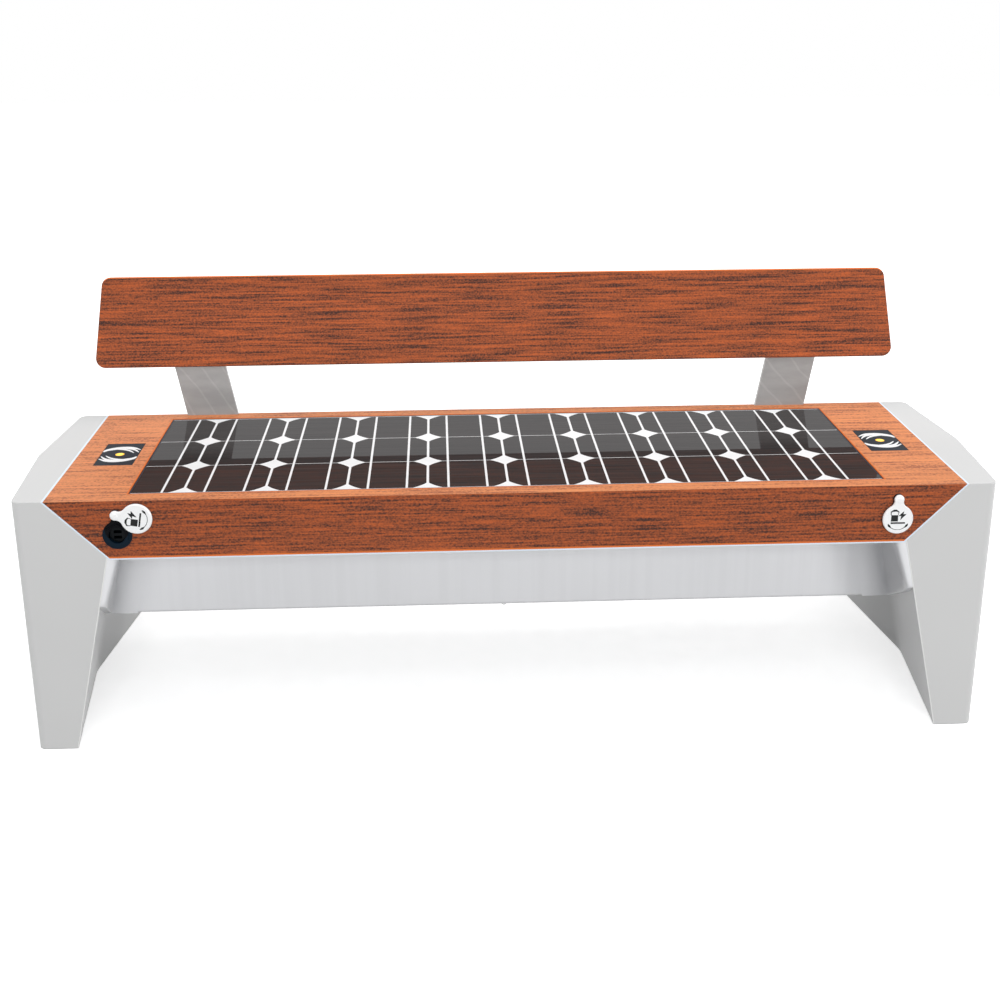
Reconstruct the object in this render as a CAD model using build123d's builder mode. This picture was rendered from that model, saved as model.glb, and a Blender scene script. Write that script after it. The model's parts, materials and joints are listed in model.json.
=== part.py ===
from build123d import *

import os
from math import cos, hypot, radians, sin, tan

# A free-standing park bench that charges phones from a solar panel set into its seat.
# X runs along the bench, -Y is the side that people sit down from, +Z is up.
# The origin is on the ground, in the middle of the whole outline.
# Every length is in millimetres and every angle in degrees.

# ---------------------------------------------------------------- driving sizes

# seat and legs
SEAT_HEIGHT = 450.0
SEAT_DEPTH = 468.0
FOOT_DEPTH = 558.0          # the back of each leg slopes out to a deeper foot
BOARD_LENGTH = 1521.5       # wood between the two legs, measured on the seat's top
LEG_TOP_WIDTH = 48.0        # metal strip at each end of the seat
FOOT_WIDTH = 67.0
OUTER_BULGE = 18.0          # the leg's outside is creased at mid depth, by this much
INNER_HOLLOW = 34.0         # and its inside likewise, measured on the ground
LEG_WALL = 3.0
LEG_CORNER = 14.0           # bent outer corners of the leg
INNER_CREASE_RADIUS = 120.0
OUTER_CREASE_RADIUS = 60.0
MITRE_RUN = 98.25           # how far the mitre between wood and leg reaches inward
JOINT_PLATE = 2.8           # metal plate in the mitre, whose edge shows as a pale line

# wood
BOARD_THICKNESS = 25.0
APRON_HEIGHT = 100.0
EDGE_TRIM = 2.4
TRIM_END_GAP = 0.5
BACKREST_GAP = 100.0        # open height between the seat and the backrest
BACKREST_HEIGHT = 172.0     # measured along the tilted board
BACKREST_LENGTH = 1540.0    # along the lower edge
BACKREST_TOP_LENGTH = 1498.0
BACKREST_THICKNESS = 30.0
BACKREST_TILT = 11.0        # back from upright
BACKREST_INSET = 19.0       # lower front edge of the backrest, before the seat's back
BACKREST_CORNER = 18.0
BOARD_BEVEL = 2.0

# backrest supports
SUPPORT_WIDTH = 97.0
SUPPORT_PLATE = 8.0
SUPPORT_INSET = 205.75      # from the leg to the support's middle, where it leaves the seat
SUPPORT_SPLAY = 13.0        # that it leans outward
SUPPORT_TAIL = 92.0         # length that runs down behind the seat
SUPPORT_REACH = 122.0       # length that lies on the back of the backrest
SUPPORT_GAP = 0.5           # play of the support in its notch
SUPPORT_BOLT = 8.0
SUPPORT_BOLT_SPACING = 60.0

# solar module
PANEL_END = 134.25          # wood between the module and each leg
PANEL_BORDER = 33.0         # wood in front of the module and behind it
CELL_ROWS = 3
CELL_COLUMNS = 10           # of which the two outermost are cut narrower
END_COLUMN = 90.5           # module length that an outermost column takes up
CELL_MARGIN = 3.0           # module width left over in front of the cells and behind them
CELL_COLUMN_GAP = 4.2
CELL_ROW_GAP = 2.0
CELL_CORNER = 22.0          # cut corner of a round-ingot cell
CELL_SHIFT = -3.5           # the columns are laid a little to the left of the middle
PANEL_GAP = 1.0             # between the module and the wood around it
PANEL_SINK = 0.6            # how far the glass lies below the wood
PANEL_WALL = 1.8
GLASS = 3.2
GLASS_GAP = 0.2
CELL_SHEET = 0.6
BACKSHEET = 0.8
MODULE_DEPTH = 38.0
MODULE_FLANGE = 20.0
JUNCTION_LENGTH = 110.0
JUNCTION_WIDTH = 76.0
JUNCTION_HEIGHT = 22.0

# phone charging pads
PAD_INSET = 76.25           # from the leg to the pad's middle
PAD_LENGTH = 118.0
PAD_WIDTH = 67.0
PAD_PLATE = 3.0
PAD_DEPTH = 22.0
PAD_GAP = 0.6
PAD_LIP = 5.0
PAD_LIP_HEIGHT = 2.0
PAD_WALL = 2.0
PAD_SINK = 0.3
COIL_RADIUS = 24.0
COIL_BORE = 11.0
COIL_THICKNESS = 3.0
LED_RADIUS = 8.0
LED_FLANGE = 1.5
LED_GAP = 0.1

# round charging sockets in the front board
PORT_INSET = 118.75         # from the leg's end of the seat's top to the socket's middle
PORT_DROP = 58.5            # socket centre below the seat's top
FLANGE_RADIUS = 24.0
FLANGE = 2.6
BARREL_RADIUS = 17.5
BARREL_LENGTH = 46.0        # behind the wood's front face
PORT_BORE = 13.6
BARREL_GAP = 0.4            # play of the barrel in the wood
THREAD_GAP = 0.05
HEX_FLATS = 36.0
HEX_HEIGHT = 1.6
GASKET = 1.0
SOCKET_RECESS = 5.0
SOCKET_GAP = 0.1
USB_WIDTH = 13.0
USB_HEIGHT = 5.4
USB_DEPTH = 13.0
USB_SPACING = 9.5
NUT_FLATS = 38.0
NUT_HEIGHT = 7.0

# swivel caps over the sockets
CAP_RADIUS = 25.4
CAP_THICKNESS = 4.2
CAP_HOLLOW = 1.4
CAP_EDGE = 1.2
CAP_ARM = 34.5              # pivot to cap centre
CAP_LIFT = 1.5              # how far a closed cap's centre lies above its socket's
TAB_RADIUS = 8.0
NECK_WIDTH = 15.0
NECK_ROUND = 11.0
CAP_GAP = 0.5               # running gap between cap and socket
PIVOT_RADIUS = 2.5
PIVOT_FIT = 0.05
PIVOT_BOSS = 5.5
PIVOT_HEAD = 4.5
PIVOT_HEAD_HEIGHT = 1.2
OPEN_ANGLE = 80.0           # the left cap stands swung this far aside

# steel frame under the seat
RAIL_WIDTH = 40.0
RAIL_HEIGHT = 18.0
RAIL_WALL = 2.0
CROSS_WIDTH = 30.0
CROSS_SPREAD = 900.0        # first to last cross tube
CROSS_COUNT = 4
BEARER_WIDTH = 12.0         # flat bars that carry the seat's ends
PLATE_CLEARANCE = 0.3
BRACKET_PLATE = 6.0
BRACKET_LENGTH = 120.0
FRAME_BOLT = 8.0
BOLT_FIT = 0.2

# box under the seat
BOX_INSET = 36.0            # back of the box, before the seat's back
BOX_CLEARANCE = 124.0       # open height under it
BOX_WALL = 2.0
BOX_FLANGE = 24.0
BOX_END_GAP = 1.2
COVE_RADIUS = 40.0          # hollow corner between the box's front and each leg
BOX_BEND = 6.0
HATCH_LENGTH = 396.0        # opening in the box's back
HATCH_RAISE = 44.0          # its lower edge above the underside of the box
HATCH_DROP = 56.0           # its upper edge below the top of the box
DOOR_LAP = 12.0
DOOR_PLATE = 2.0
DOOR_FOLD = 10.0
DOOR_GAP = 0.5
HINGE_PIN = 2.0
HINGE_WALL = 1.6
HINGE_FIT = 0.06
HINGE_DROP = 4.2
HINGE_SPREAD = 280.0
KNUCKLE = 12.0
KNUCKLE_GAP = 0.4
HINGE_LEAF = 2.0
LEAF_HEIGHT = 16.0
LOCK_RADIUS = 9.0
LOCK_CORE = 6.0
LOCK_NUT_FLATS = 24.0
LOCK_NUT = 4.0
LOCK_HEAD = 12.0
LOCK_HEAD_HEIGHT = 2.5
LOCK_FIT = 0.08
LOCK_DROP = 12.5            # lock centre below the upper edge of the opening
CAM_LENGTH = 26.0
CAM_WIDTH = 14.0
CAM_PLATE = 2.5
CAM_GAP = 1.0

# what the box holds
BATTERY_LENGTH = 260.0
BATTERY_ROOM = 12.0         # free behind the rear foot of its strap
BATTERY_HEIGHT = 110.0
BATTERY_EDGE = 4.0
TERMINAL = 8.0
STRAP_WIDTH = 32.0
STRAP_PLATE = 1.5
STRAP_FOOT = 15.0
STRAP_BOLT = 6.0
BOX_BOLT = 6.0
BOX_BOLT_SPACING = 560.0
BOX_BOLT_COUNT = 3
CONTROLLER_LENGTH = 150.0
CONTROLLER_DEPTH = 90.0
CONTROLLER_HEIGHT = 34.0
SUPPLY_LENGTH = 120.0
SUPPLY_DEPTH = 72.0
SUPPLY_HEIGHT = 44.0
DEVICE_SPACING = 24.0
FUSE_LENGTH = 66.0
FUSE_DEPTH = 40.0
FUSE_HEIGHT = 16.0
FIN = 3.0
FIN_COUNT = 9

# feet
FOOT_PLATE = 8.0
FOOT_PLATE_GAP = 0.3
ANCHOR_HOLE = 14.0
ANCHOR_SPACING_X = 24.0
ANCHOR_SPACING_Y = 400.0

# ---------------------------------------------------------------- places worked out from them

CAP_FACE = GASKET + FLANGE + HEX_HEIGHT + CAP_GAP      # back of the cap, in front of the wood
CAP_PROUD = CAP_FACE + CAP_THICKNESS + PIVOT_HEAD_HEIGHT
FRONT = -(FOOT_DEPTH - CAP_PROUD) / 2
SEAT_BACK = FRONT + SEAT_DEPTH
SEAT_MIDDLE = FRONT + SEAT_DEPTH / 2
FOOT_MIDDLE = FRONT + FOOT_DEPTH / 2
TIP_HEIGHT = SEAT_HEIGHT - APRON_HEIGHT
LEG_END = BOARD_LENGTH / 2
CORNER = LEG_END + LEG_TOP_WIDTH
TIP_X = LEG_END - MITRE_RUN
FOOT_INNER = CORNER - FOOT_WIDTH
LEAN = (FOOT_INNER - TIP_X) / TIP_HEIGHT
MITRE_SLOPE = MITRE_RUN / APRON_HEIGHT
MITRE_STRETCH = hypot(1, MITRE_SLOPE)
WOOD_END = LEG_END - JOINT_PLATE * MITRE_STRETCH
BOARD_UNDER = SEAT_HEIGHT - BOARD_THICKNESS
SUPPORT_X = LEG_END - SUPPORT_INSET
PAD_X = LEG_END - PAD_INSET
PORT_X = LEG_END - PORT_INSET
PANEL_LENGTH = BOARD_LENGTH - 2 * PANEL_END
PANEL_WIDTH = SEAT_DEPTH - 2 * PANEL_BORDER
FAR = 2 * BOARD_LENGTH

os.makedirs("parts", exist_ok=True)


def write(piece, name):
    """Label a finished piece and write it as one STEP file."""
    piece.label = name
    export_step(piece, f"parts/{name}.step")


def on_side(piece, side):
    """A right-hand piece as it is, or its mirror image on the left."""
    return piece if side == "right" else mirror(piece, about=Plane.YZ)


def leaning(edge):
    """True for an edge that stands upright or leans a little."""
    return abs(edge.tangent_at(0.5).Z) > 0.8


# ---------------------------------------------------------------- end legs

# Each leg is a closed box of sheet steel. Seen from above it is a shallow chevron,
# creased at mid depth, and seen from the front it widens from the foot to the mitre.


BACK_SLOPE = (FOOT_DEPTH - SEAT_DEPTH) / SEAT_HEIGHT
INNER_SLOPE = 2 * INNER_HOLLOW / FOOT_DEPTH
OUTER_SLOPE = 2 * OUTER_BULGE / SEAT_DEPTH


def leg_depth(height):
    """Depth of the leg at a height, as its back slopes."""
    return FOOT_DEPTH - BACK_SLOPE * height


def inner_face(height, back):
    """X of the leg's inner wall at a height and a distance behind the front."""
    nearer = min(back, leg_depth(height) - back)
    return FOOT_INNER - LEAN * height + INNER_SLOPE * nearer


def outer_face(height, back):
    """X of the leg's outer wall at a height and a distance behind the front."""
    nearer = min(back, leg_depth(height) - back)
    return CORNER + OUTER_SLOPE * nearer


def inside_of_wall(front_x, slope):
    """Ground plan of all that lies on the bench's side of one creased wall of a leg."""
    reach = FOOT_DEPTH / 2
    ends = front_x - slope * reach
    return [
        (0, FRONT - reach),
        (ends, FRONT - reach),
        (front_x + slope * reach, FRONT + reach),
        (ends, FRONT + FOOT_DEPTH + reach),
        (0, FRONT + FOOT_DEPTH + reach),
    ]


def inward_of_mitre(shift):
    """Front view of all that lies inward of the right-hand mitre, moved outward by a shift."""
    rise = APRON_HEIGHT / 10
    drop = 2 * APRON_HEIGHT
    return [
        (LEG_END + shift + MITRE_SLOPE * rise, SEAT_HEIGHT + rise),
        (0, SEAT_HEIGHT + rise),
        (0, SEAT_HEIGHT - drop),
        (LEG_END + shift - MITRE_SLOPE * drop, SEAT_HEIGHT - drop),
    ]


def leg_block(inset, top):
    """The right leg's form from the ground to a top, drawn in by an inset, edges still sharp."""
    with BuildPart() as block:
        with BuildSketch(Plane.YZ):
            Polygon(
                (FRONT + inset, 0),
                (FRONT + leg_depth(0) - inset, 0),
                (FRONT + leg_depth(top) - inset, top),
                (FRONT + inset, top),
                align=None,
            )
        extrude(amount=FAR / 2)
        with BuildSketch():
            Polygon(*inside_of_wall(CORNER - inset, OUTER_SLOPE), align=None)
        crease = Vector(-OUTER_SLOPE * BACK_SLOPE / 2, -BACK_SLOPE / 2, 1)
        extrude(amount=2 * SEAT_HEIGHT, dir=crease, mode=Mode.INTERSECT)
        with BuildSketch():
            Polygon(*inside_of_wall(FOOT_INNER + inset, INNER_SLOPE), align=None)
        crease = Vector(-LEAN - INNER_SLOPE * BACK_SLOPE / 2, -BACK_SLOPE / 2, 1)
        extrude(amount=2 * SEAT_HEIGHT, dir=crease, mode=Mode.SUBTRACT)
    return block.part


with BuildPart() as leg_body:
    add(leg_block(0, SEAT_HEIGHT))
    upright = leg_body.edges().filter_by(leaning).sort_by(Axis.X)
    fillet(upright[-3:-1], LEG_CORNER)
    fillet(leg_body.edges().filter_by(leaning).sort_by(Axis.X)[-1], OUTER_CREASE_RADIUS)
    fillet(leg_body.edges().filter_by(leaning).sort_by(Axis.X)[2], INNER_CREASE_RADIUS)
    with BuildSketch(Plane.XZ):
        Polygon(*inward_of_mitre(0), align=None)
    extrude(amount=FAR / 2, both=True, mode=Mode.SUBTRACT)

with BuildPart() as leg_cavity:
    add(leg_block(LEG_WALL, SEAT_HEIGHT - LEG_WALL))
    fillet(leg_cavity.edges().filter_by(leaning).sort_by(Axis.X)[-3:-1], LEG_CORNER - LEG_WALL)
    with BuildSketch(Plane.XZ):
        Polygon(*inward_of_mitre(LEG_WALL * MITRE_STRETCH), align=None)
    extrude(amount=FAR / 2, both=True, mode=Mode.SUBTRACT)

# face of the right-hand mitre: its own Y runs down and inward along the joint
MITRE_FACE = Plane(
    origin=(LEG_END, SEAT_MIDDLE, SEAT_HEIGHT),
    x_dir=(0, 1, 0),
    z_dir=(-APRON_HEIGHT, 0, MITRE_RUN),
)
LEG_BOLT_DROP = hypot(MITRE_RUN, APRON_HEIGHT) / 2
LEG_BOLT_SPREAD = SEAT_DEPTH - 3 * RAIL_WIDTH

with BuildPart() as right_leg:
    add(leg_body.part)
    add(leg_cavity.part, mode=Mode.SUBTRACT)
    with BuildSketch(MITRE_FACE):
        with Locations((0, LEG_BOLT_DROP)):
            with GridLocations(LEG_BOLT_SPREAD, 1, 2, 1):
                Circle(FRAME_BOLT / 2 + BOLT_FIT)
    extrude(amount=-2 * LEG_WALL, mode=Mode.SUBTRACT)

# plate in the mitre, between the leg and the ends of all the wood and rails
with BuildPart() as right_joint_plate:
    with BuildSketch(Plane.XZ.offset(-FRONT)):
        Polygon(
            (LEG_END, SEAT_HEIGHT),
            (WOOD_END, SEAT_HEIGHT),
            (WOOD_END - MITRE_RUN, TIP_HEIGHT),
            (TIP_X, TIP_HEIGHT),
            align=None,
        )
    extrude(amount=-SEAT_DEPTH)
    with BuildSketch(MITRE_FACE):
        with Locations((0, LEG_BOLT_DROP)):
            with GridLocations(LEG_BOLT_SPREAD, 1, 2, 1):
                Circle(FRAME_BOLT / 2 + BOLT_FIT)
    extrude(amount=JOINT_PLATE, both=True, mode=Mode.SUBTRACT)

# bolts that hold the plates to the legs, their nuts inside them
with BuildPart() as leg_bolts:
    with BuildSketch(MITRE_FACE.offset(JOINT_PLATE)):
        with Locations((0, LEG_BOLT_DROP)):
            with GridLocations(LEG_BOLT_SPREAD, 1, 2, 1):
                RegularPolygon(FRAME_BOLT, 6)
    extrude(amount=FRAME_BOLT * 0.6)
    with BuildSketch(MITRE_FACE.offset(JOINT_PLATE)):
        with Locations((0, LEG_BOLT_DROP)):
            with GridLocations(LEG_BOLT_SPREAD, 1, 2, 1):
                Circle(FRAME_BOLT / 2)
    extrude(amount=-(JOINT_PLATE + LEG_WALL + FRAME_BOLT))
    with BuildSketch(MITRE_FACE.offset(-LEG_WALL)):
        with Locations((0, LEG_BOLT_DROP)):
            with GridLocations(LEG_BOLT_SPREAD, 1, 2, 1):
                RegularPolygon(FRAME_BOLT, 6)
    extrude(amount=-FRAME_BOLT * 0.8)
    mirror(about=Plane.YZ)
write(leg_bolts.part, "leg_bolts")

# ground plate inside each foot, with the holes for the anchor bolts
ANCHOR_BACK = (FOOT_DEPTH - ANCHOR_SPACING_Y) / 2
ANCHOR_X = (inner_face(0, ANCHOR_BACK) + outer_face(0, ANCHOR_BACK)) / 2

with BuildPart() as right_base_plate:
    add(leg_block(LEG_WALL + FOOT_PLATE_GAP, FOOT_PLATE))
    chamfer(right_base_plate.edges().filter_by(leaning).sort_by(Axis.X)[-3:-1], LEG_CORNER - LEG_WALL)
    with Locations((ANCHOR_X, FOOT_MIDDLE, FOOT_PLATE)):
        with GridLocations(ANCHOR_SPACING_X, ANCHOR_SPACING_Y, 2, 2):
            Hole(ANCHOR_HOLE / 2)

for side in ("left", "right"):
    write(on_side(right_leg.part, side), f"{side}_leg")
    write(on_side(right_joint_plate.part, side), f"{side}_joint_plate")
    write(on_side(right_base_plate.part, side), f"{side}_base_plate")

# ---------------------------------------------------------------- wood of the seat

PANEL_TOP = SEAT_HEIGHT - PANEL_SINK
MODULE_BASE = PANEL_TOP - MODULE_DEPTH
TILT = radians(BACKREST_TILT)

# front face of the backrest, its own Y running up the board
BACKREST_FACE = Plane(
    origin=(0, SEAT_BACK - BACKREST_INSET, SEAT_HEIGHT + BACKREST_GAP),
    x_dir=(1, 0, 0),
    z_dir=(0, -cos(TILT), sin(TILT)),
)


def support_front(height):
    """Y of a support's front face at a height, on the plane of the backrest's back."""
    lower_edge = BACKREST_FACE.offset(-BACKREST_THICKNESS).origin
    return lower_edge.Y + (height - lower_edge.Z) * tan(TILT)


SUPPORT_Y = support_front(SEAT_HEIGHT)      # front face of the upright tail
SUPPORT_NOTCH = SEAT_BACK - SUPPORT_Y
SUPPORT_BOLT_ROW = SUPPORT_TAIL * 0.6       # tail bolts below the seat's top

with BuildPart() as seat_top_board:
    with BuildSketch(Plane.YZ):
        Polygon(
            (FRONT, SEAT_HEIGHT),
            (SEAT_BACK, SEAT_HEIGHT),
            (SEAT_BACK - BOARD_THICKNESS, BOARD_UNDER),
            (FRONT + BOARD_THICKNESS, BOARD_UNDER),
            align=None,
        )
    extrude(amount=FAR / 2, both=True)
    with BuildSketch(Plane.XZ):
        Polygon(*inward_of_mitre(WOOD_END - LEG_END), align=None)
        mirror(about=Plane.YZ)
    extrude(amount=FAR / 2, both=True, mode=Mode.INTERSECT)
    with Locations((0, SEAT_MIDDLE, SEAT_HEIGHT)):
        Box(
            PANEL_LENGTH + 2 * PANEL_GAP,
            PANEL_WIDTH + 2 * PANEL_GAP,
            3 * BOARD_THICKNESS,
            mode=Mode.SUBTRACT,
        )
    with Locations((-PAD_X, SEAT_MIDDLE, SEAT_HEIGHT), (PAD_X, SEAT_MIDDLE, SEAT_HEIGHT)):
        Box(
            PAD_WIDTH + 2 * PAD_GAP,
            PAD_LENGTH + 2 * PAD_GAP,
            2 * (PAD_SINK + PAD_PLATE + PAD_LIP_HEIGHT),
            mode=Mode.SUBTRACT,
        )
        Box(
            PAD_WIDTH + 2 * (PAD_GAP - PAD_LIP),
            PAD_LENGTH + 2 * (PAD_GAP - PAD_LIP),
            3 * BOARD_THICKNESS,
            mode=Mode.SUBTRACT,
        )
    with Locations((-SUPPORT_X, SEAT_BACK, SEAT_HEIGHT), (SUPPORT_X, SEAT_BACK, SEAT_HEIGHT)):
        Box(
            SUPPORT_WIDTH + 2 * SUPPORT_GAP,
            2 * SUPPORT_NOTCH,
            3 * BOARD_THICKNESS,
            mode=Mode.SUBTRACT,
        )
write(seat_top_board.part, "seat_top_board")

PORT_CENTRE_Z = SEAT_HEIGHT - PORT_DROP
FRONT_FACE = Plane(origin=(0, FRONT, 0), x_dir=(1, 0, 0), z_dir=(0, -1, 0))

with BuildPart() as front_apron:
    with BuildSketch(Plane.YZ):
        Polygon(
            (FRONT, SEAT_HEIGHT),
            (FRONT + BOARD_THICKNESS, BOARD_UNDER),
            (FRONT + BOARD_THICKNESS, TIP_HEIGHT),
            (FRONT, TIP_HEIGHT),
            align=None,
        )
    extrude(amount=FAR / 2, both=True)
    with BuildSketch(Plane.XZ):
        Polygon(*inward_of_mitre(WOOD_END - LEG_END), align=None)
        mirror(about=Plane.YZ)
    extrude(amount=FAR / 2, both=True, mode=Mode.INTERSECT)
    with BuildSketch(FRONT_FACE):
        with Locations((-PORT_X, PORT_CENTRE_Z), (PORT_X, PORT_CENTRE_Z)):
            Circle(BARREL_RADIUS + BARREL_GAP)
    extrude(amount=-BOARD_THICKNESS, mode=Mode.SUBTRACT)
write(front_apron.part, "front_apron")

with BuildPart() as rear_apron:
    with BuildSketch(Plane.YZ):
        Polygon(
            (SEAT_BACK, SEAT_HEIGHT),
            (SEAT_BACK, TIP_HEIGHT),
            (SEAT_BACK - BOARD_THICKNESS, TIP_HEIGHT),
            (SEAT_BACK - BOARD_THICKNESS, BOARD_UNDER),
            align=None,
        )
    extrude(amount=FAR / 2, both=True)
    with BuildSketch(Plane.XZ):
        Polygon(*inward_of_mitre(WOOD_END - LEG_END), align=None)
        mirror(about=Plane.YZ)
    extrude(amount=FAR / 2, both=True, mode=Mode.INTERSECT)
    with BuildSketch(Plane.XY.offset(SEAT_HEIGHT)):
        with Locations((-SUPPORT_X, SEAT_BACK), (SUPPORT_X, SEAT_BACK)):
            Rectangle(SUPPORT_WIDTH + 2 * SUPPORT_GAP, 2 * SUPPORT_NOTCH)
    extrude(amount=-(SUPPORT_TAIL + SUPPORT_GAP), mode=Mode.SUBTRACT)
    with BuildSketch(Plane.XZ.offset(-SEAT_BACK)):
        for middle in (-SUPPORT_X, SUPPORT_X):
            with Locations((middle, SEAT_HEIGHT - SUPPORT_BOLT_ROW)):
                with GridLocations(SUPPORT_BOLT_SPACING, 1, 2, 1):
                    Circle(SUPPORT_BOLT / 2 + BOLT_FIT)
    extrude(amount=BOARD_THICKNESS, mode=Mode.SUBTRACT)
write(rear_apron.part, "rear_apron")

# strips that close the lower edge of both aprons, pale like the joint plates
with BuildPart() as edge_trims:
    with Locations((0, SEAT_MIDDLE, TIP_HEIGHT - EDGE_TRIM / 2)):
        with GridLocations(1, SEAT_DEPTH - BOARD_THICKNESS, 1, 2):
            Box(2 * (TIP_X - TRIM_END_GAP), BOARD_THICKNESS, EDGE_TRIM)
write(edge_trims.part, "edge_trims")

# ---------------------------------------------------------------- backrest

SUPPORT_LEAN = tan(radians(SUPPORT_SPLAY))
SUPPORT_TOP = SEAT_HEIGHT + BACKREST_GAP + SUPPORT_REACH * cos(TILT)
SUPPORT_BOTTOM = SEAT_HEIGHT - SUPPORT_TAIL
BACKREST_BACK = BACKREST_FACE.offset(-BACKREST_THICKNESS)
BACK_BOLT_ROWS = (SUPPORT_REACH * 0.3, SUPPORT_REACH * 0.78)


def support_middle(along):
    """X of the right support's middle, at a distance up the backrest board."""
    return SUPPORT_X + SUPPORT_LEAN * (BACKREST_GAP + along * cos(TILT))


def back_bolt_places():
    """Where the supports are bolted to the backrest, in the board's own plane."""
    for along in BACK_BOLT_ROWS:
        for outward in (-1, 1):
            yield (outward * support_middle(along), along)


with BuildPart() as backrest_board:
    with BuildSketch(BACKREST_FACE) as backrest_outline:
        Polygon(
            (-BACKREST_LENGTH / 2, 0),
            (BACKREST_LENGTH / 2, 0),
            (BACKREST_TOP_LENGTH / 2, BACKREST_HEIGHT),
            (-BACKREST_TOP_LENGTH / 2, BACKREST_HEIGHT),
            align=None,
        )
        fillet(backrest_outline.vertices(), BACKREST_CORNER)
    extrude(amount=-BACKREST_THICKNESS)
    chamfer(backrest_board.faces().filter_by(BACKREST_FACE).edges(), BOARD_BEVEL)
    with BuildSketch(BACKREST_BACK):
        with Locations(*back_bolt_places()):
            Circle(SUPPORT_BOLT / 2 + BOLT_FIT)
    extrude(amount=BACKREST_THICKNESS * 0.8, mode=Mode.SUBTRACT)
write(backrest_board.part, "backrest_board")

# Each support is one flat bar, bent where it leaves the seat: its tail is sunk into the
# back of the seat, and its upper part leans back and outward behind the backrest.
with BuildPart() as right_support:
    with BuildSketch(Plane.YZ):
        with BuildLine():
            Polyline(
                (SUPPORT_Y, SUPPORT_BOTTOM),
                (SUPPORT_Y, SEAT_HEIGHT),
                (support_front(SUPPORT_TOP), SUPPORT_TOP),
                (support_front(SUPPORT_TOP) + SUPPORT_PLATE / cos(TILT), SUPPORT_TOP),
                (SUPPORT_Y + SUPPORT_PLATE, SEAT_HEIGHT - SUPPORT_PLATE * tan(TILT / 2)),
                (SUPPORT_Y + SUPPORT_PLATE, SUPPORT_BOTTOM),
                close=True,
            )
        make_face()
    extrude(amount=FAR / 2, both=True)
    with BuildSketch(Plane.XZ) as support_outline:
        rise = SUPPORT_TOP - SEAT_HEIGHT
        with BuildLine():
            Polyline(
                (SUPPORT_X - SUPPORT_WIDTH / 2, SUPPORT_BOTTOM),
                (SUPPORT_X - SUPPORT_WIDTH / 2, SEAT_HEIGHT),
                (SUPPORT_X - SUPPORT_WIDTH / 2 + SUPPORT_LEAN * rise, SUPPORT_TOP),
                (SUPPORT_X + SUPPORT_WIDTH / 2 + SUPPORT_LEAN * rise, SUPPORT_TOP),
                (SUPPORT_X + SUPPORT_WIDTH / 2, SEAT_HEIGHT),
                (SUPPORT_X + SUPPORT_WIDTH / 2, SUPPORT_BOTTOM),
                close=True,
            )
        make_face()
        chamfer(support_outline.vertices().group_by(Axis.Y)[-1], SUPPORT_PLATE)
    extrude(amount=FAR / 2, both=True, mode=Mode.INTERSECT)
    with BuildSketch(BACKREST_BACK):
        with Locations(*back_bolt_places()):
            Circle(SUPPORT_BOLT / 2 + BOLT_FIT)
    extrude(amount=-2 * SUPPORT_PLATE, mode=Mode.SUBTRACT)
    with BuildSketch(Plane.XZ.offset(-SEAT_BACK - SUPPORT_PLATE)):
        with Locations((SUPPORT_X, SEAT_HEIGHT - SUPPORT_BOLT_ROW)):
            with GridLocations(SUPPORT_BOLT_SPACING, 1, 2, 1):
                Circle(SUPPORT_BOLT / 2 + BOLT_FIT)
    extrude(amount=3 * SUPPORT_PLATE, mode=Mode.SUBTRACT)

# bolts from behind, two in each support, set into the board
with BuildPart() as backrest_bolts:
    with BuildSketch(BACKREST_BACK.offset(-SUPPORT_PLATE)):
        with Locations(*back_bolt_places()):
            RegularPolygon(SUPPORT_BOLT, 6)
    extrude(amount=-SUPPORT_BOLT * 0.55)
    with BuildSketch(BACKREST_BACK.offset(-SUPPORT_PLATE)):
        with Locations(*back_bolt_places()):
            Circle(SUPPORT_BOLT / 2)
    extrude(amount=SUPPORT_PLATE + BACKREST_THICKNESS * 0.7)

BRACKET_BACK = SEAT_BACK - BOARD_THICKNESS
SUPPORT_FACE = Plane(
    origin=(0, SUPPORT_Y + SUPPORT_PLATE, SEAT_HEIGHT - SUPPORT_BOLT_ROW),
    x_dir=(-1, 0, 0),
    z_dir=(0, 1, 0),
)
SUPPORT_GRIP = SUPPORT_Y + SUPPORT_PLATE - BRACKET_BACK + BRACKET_PLATE
with BuildPart() as support_bolts:
    for start, length in ((0, SUPPORT_BOLT * 0.55), (-SUPPORT_GRIP, -SUPPORT_BOLT * 0.8)):
        with BuildSketch(SUPPORT_FACE.offset(start)):
            with GridLocations(2 * SUPPORT_X, 1, 2, 1):
                with GridLocations(SUPPORT_BOLT_SPACING, 1, 2, 1):
                    RegularPolygon(SUPPORT_BOLT, 6)
        extrude(amount=length)
    with BuildSketch(SUPPORT_FACE):
        with GridLocations(2 * SUPPORT_X, 1, 2, 1):
            with GridLocations(SUPPORT_BOLT_SPACING, 1, 2, 1):
                Circle(SUPPORT_BOLT / 2)
    extrude(amount=-(SUPPORT_GRIP + SUPPORT_BOLT))

for side in ("left", "right"):
    write(on_side(right_support.part, side), f"{side}_backrest_support")
write(backrest_bolts.part, "backrest_bolts")
write(support_bolts.part, "support_bolts")

# ---------------------------------------------------------------- steel frame under the seat

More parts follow.
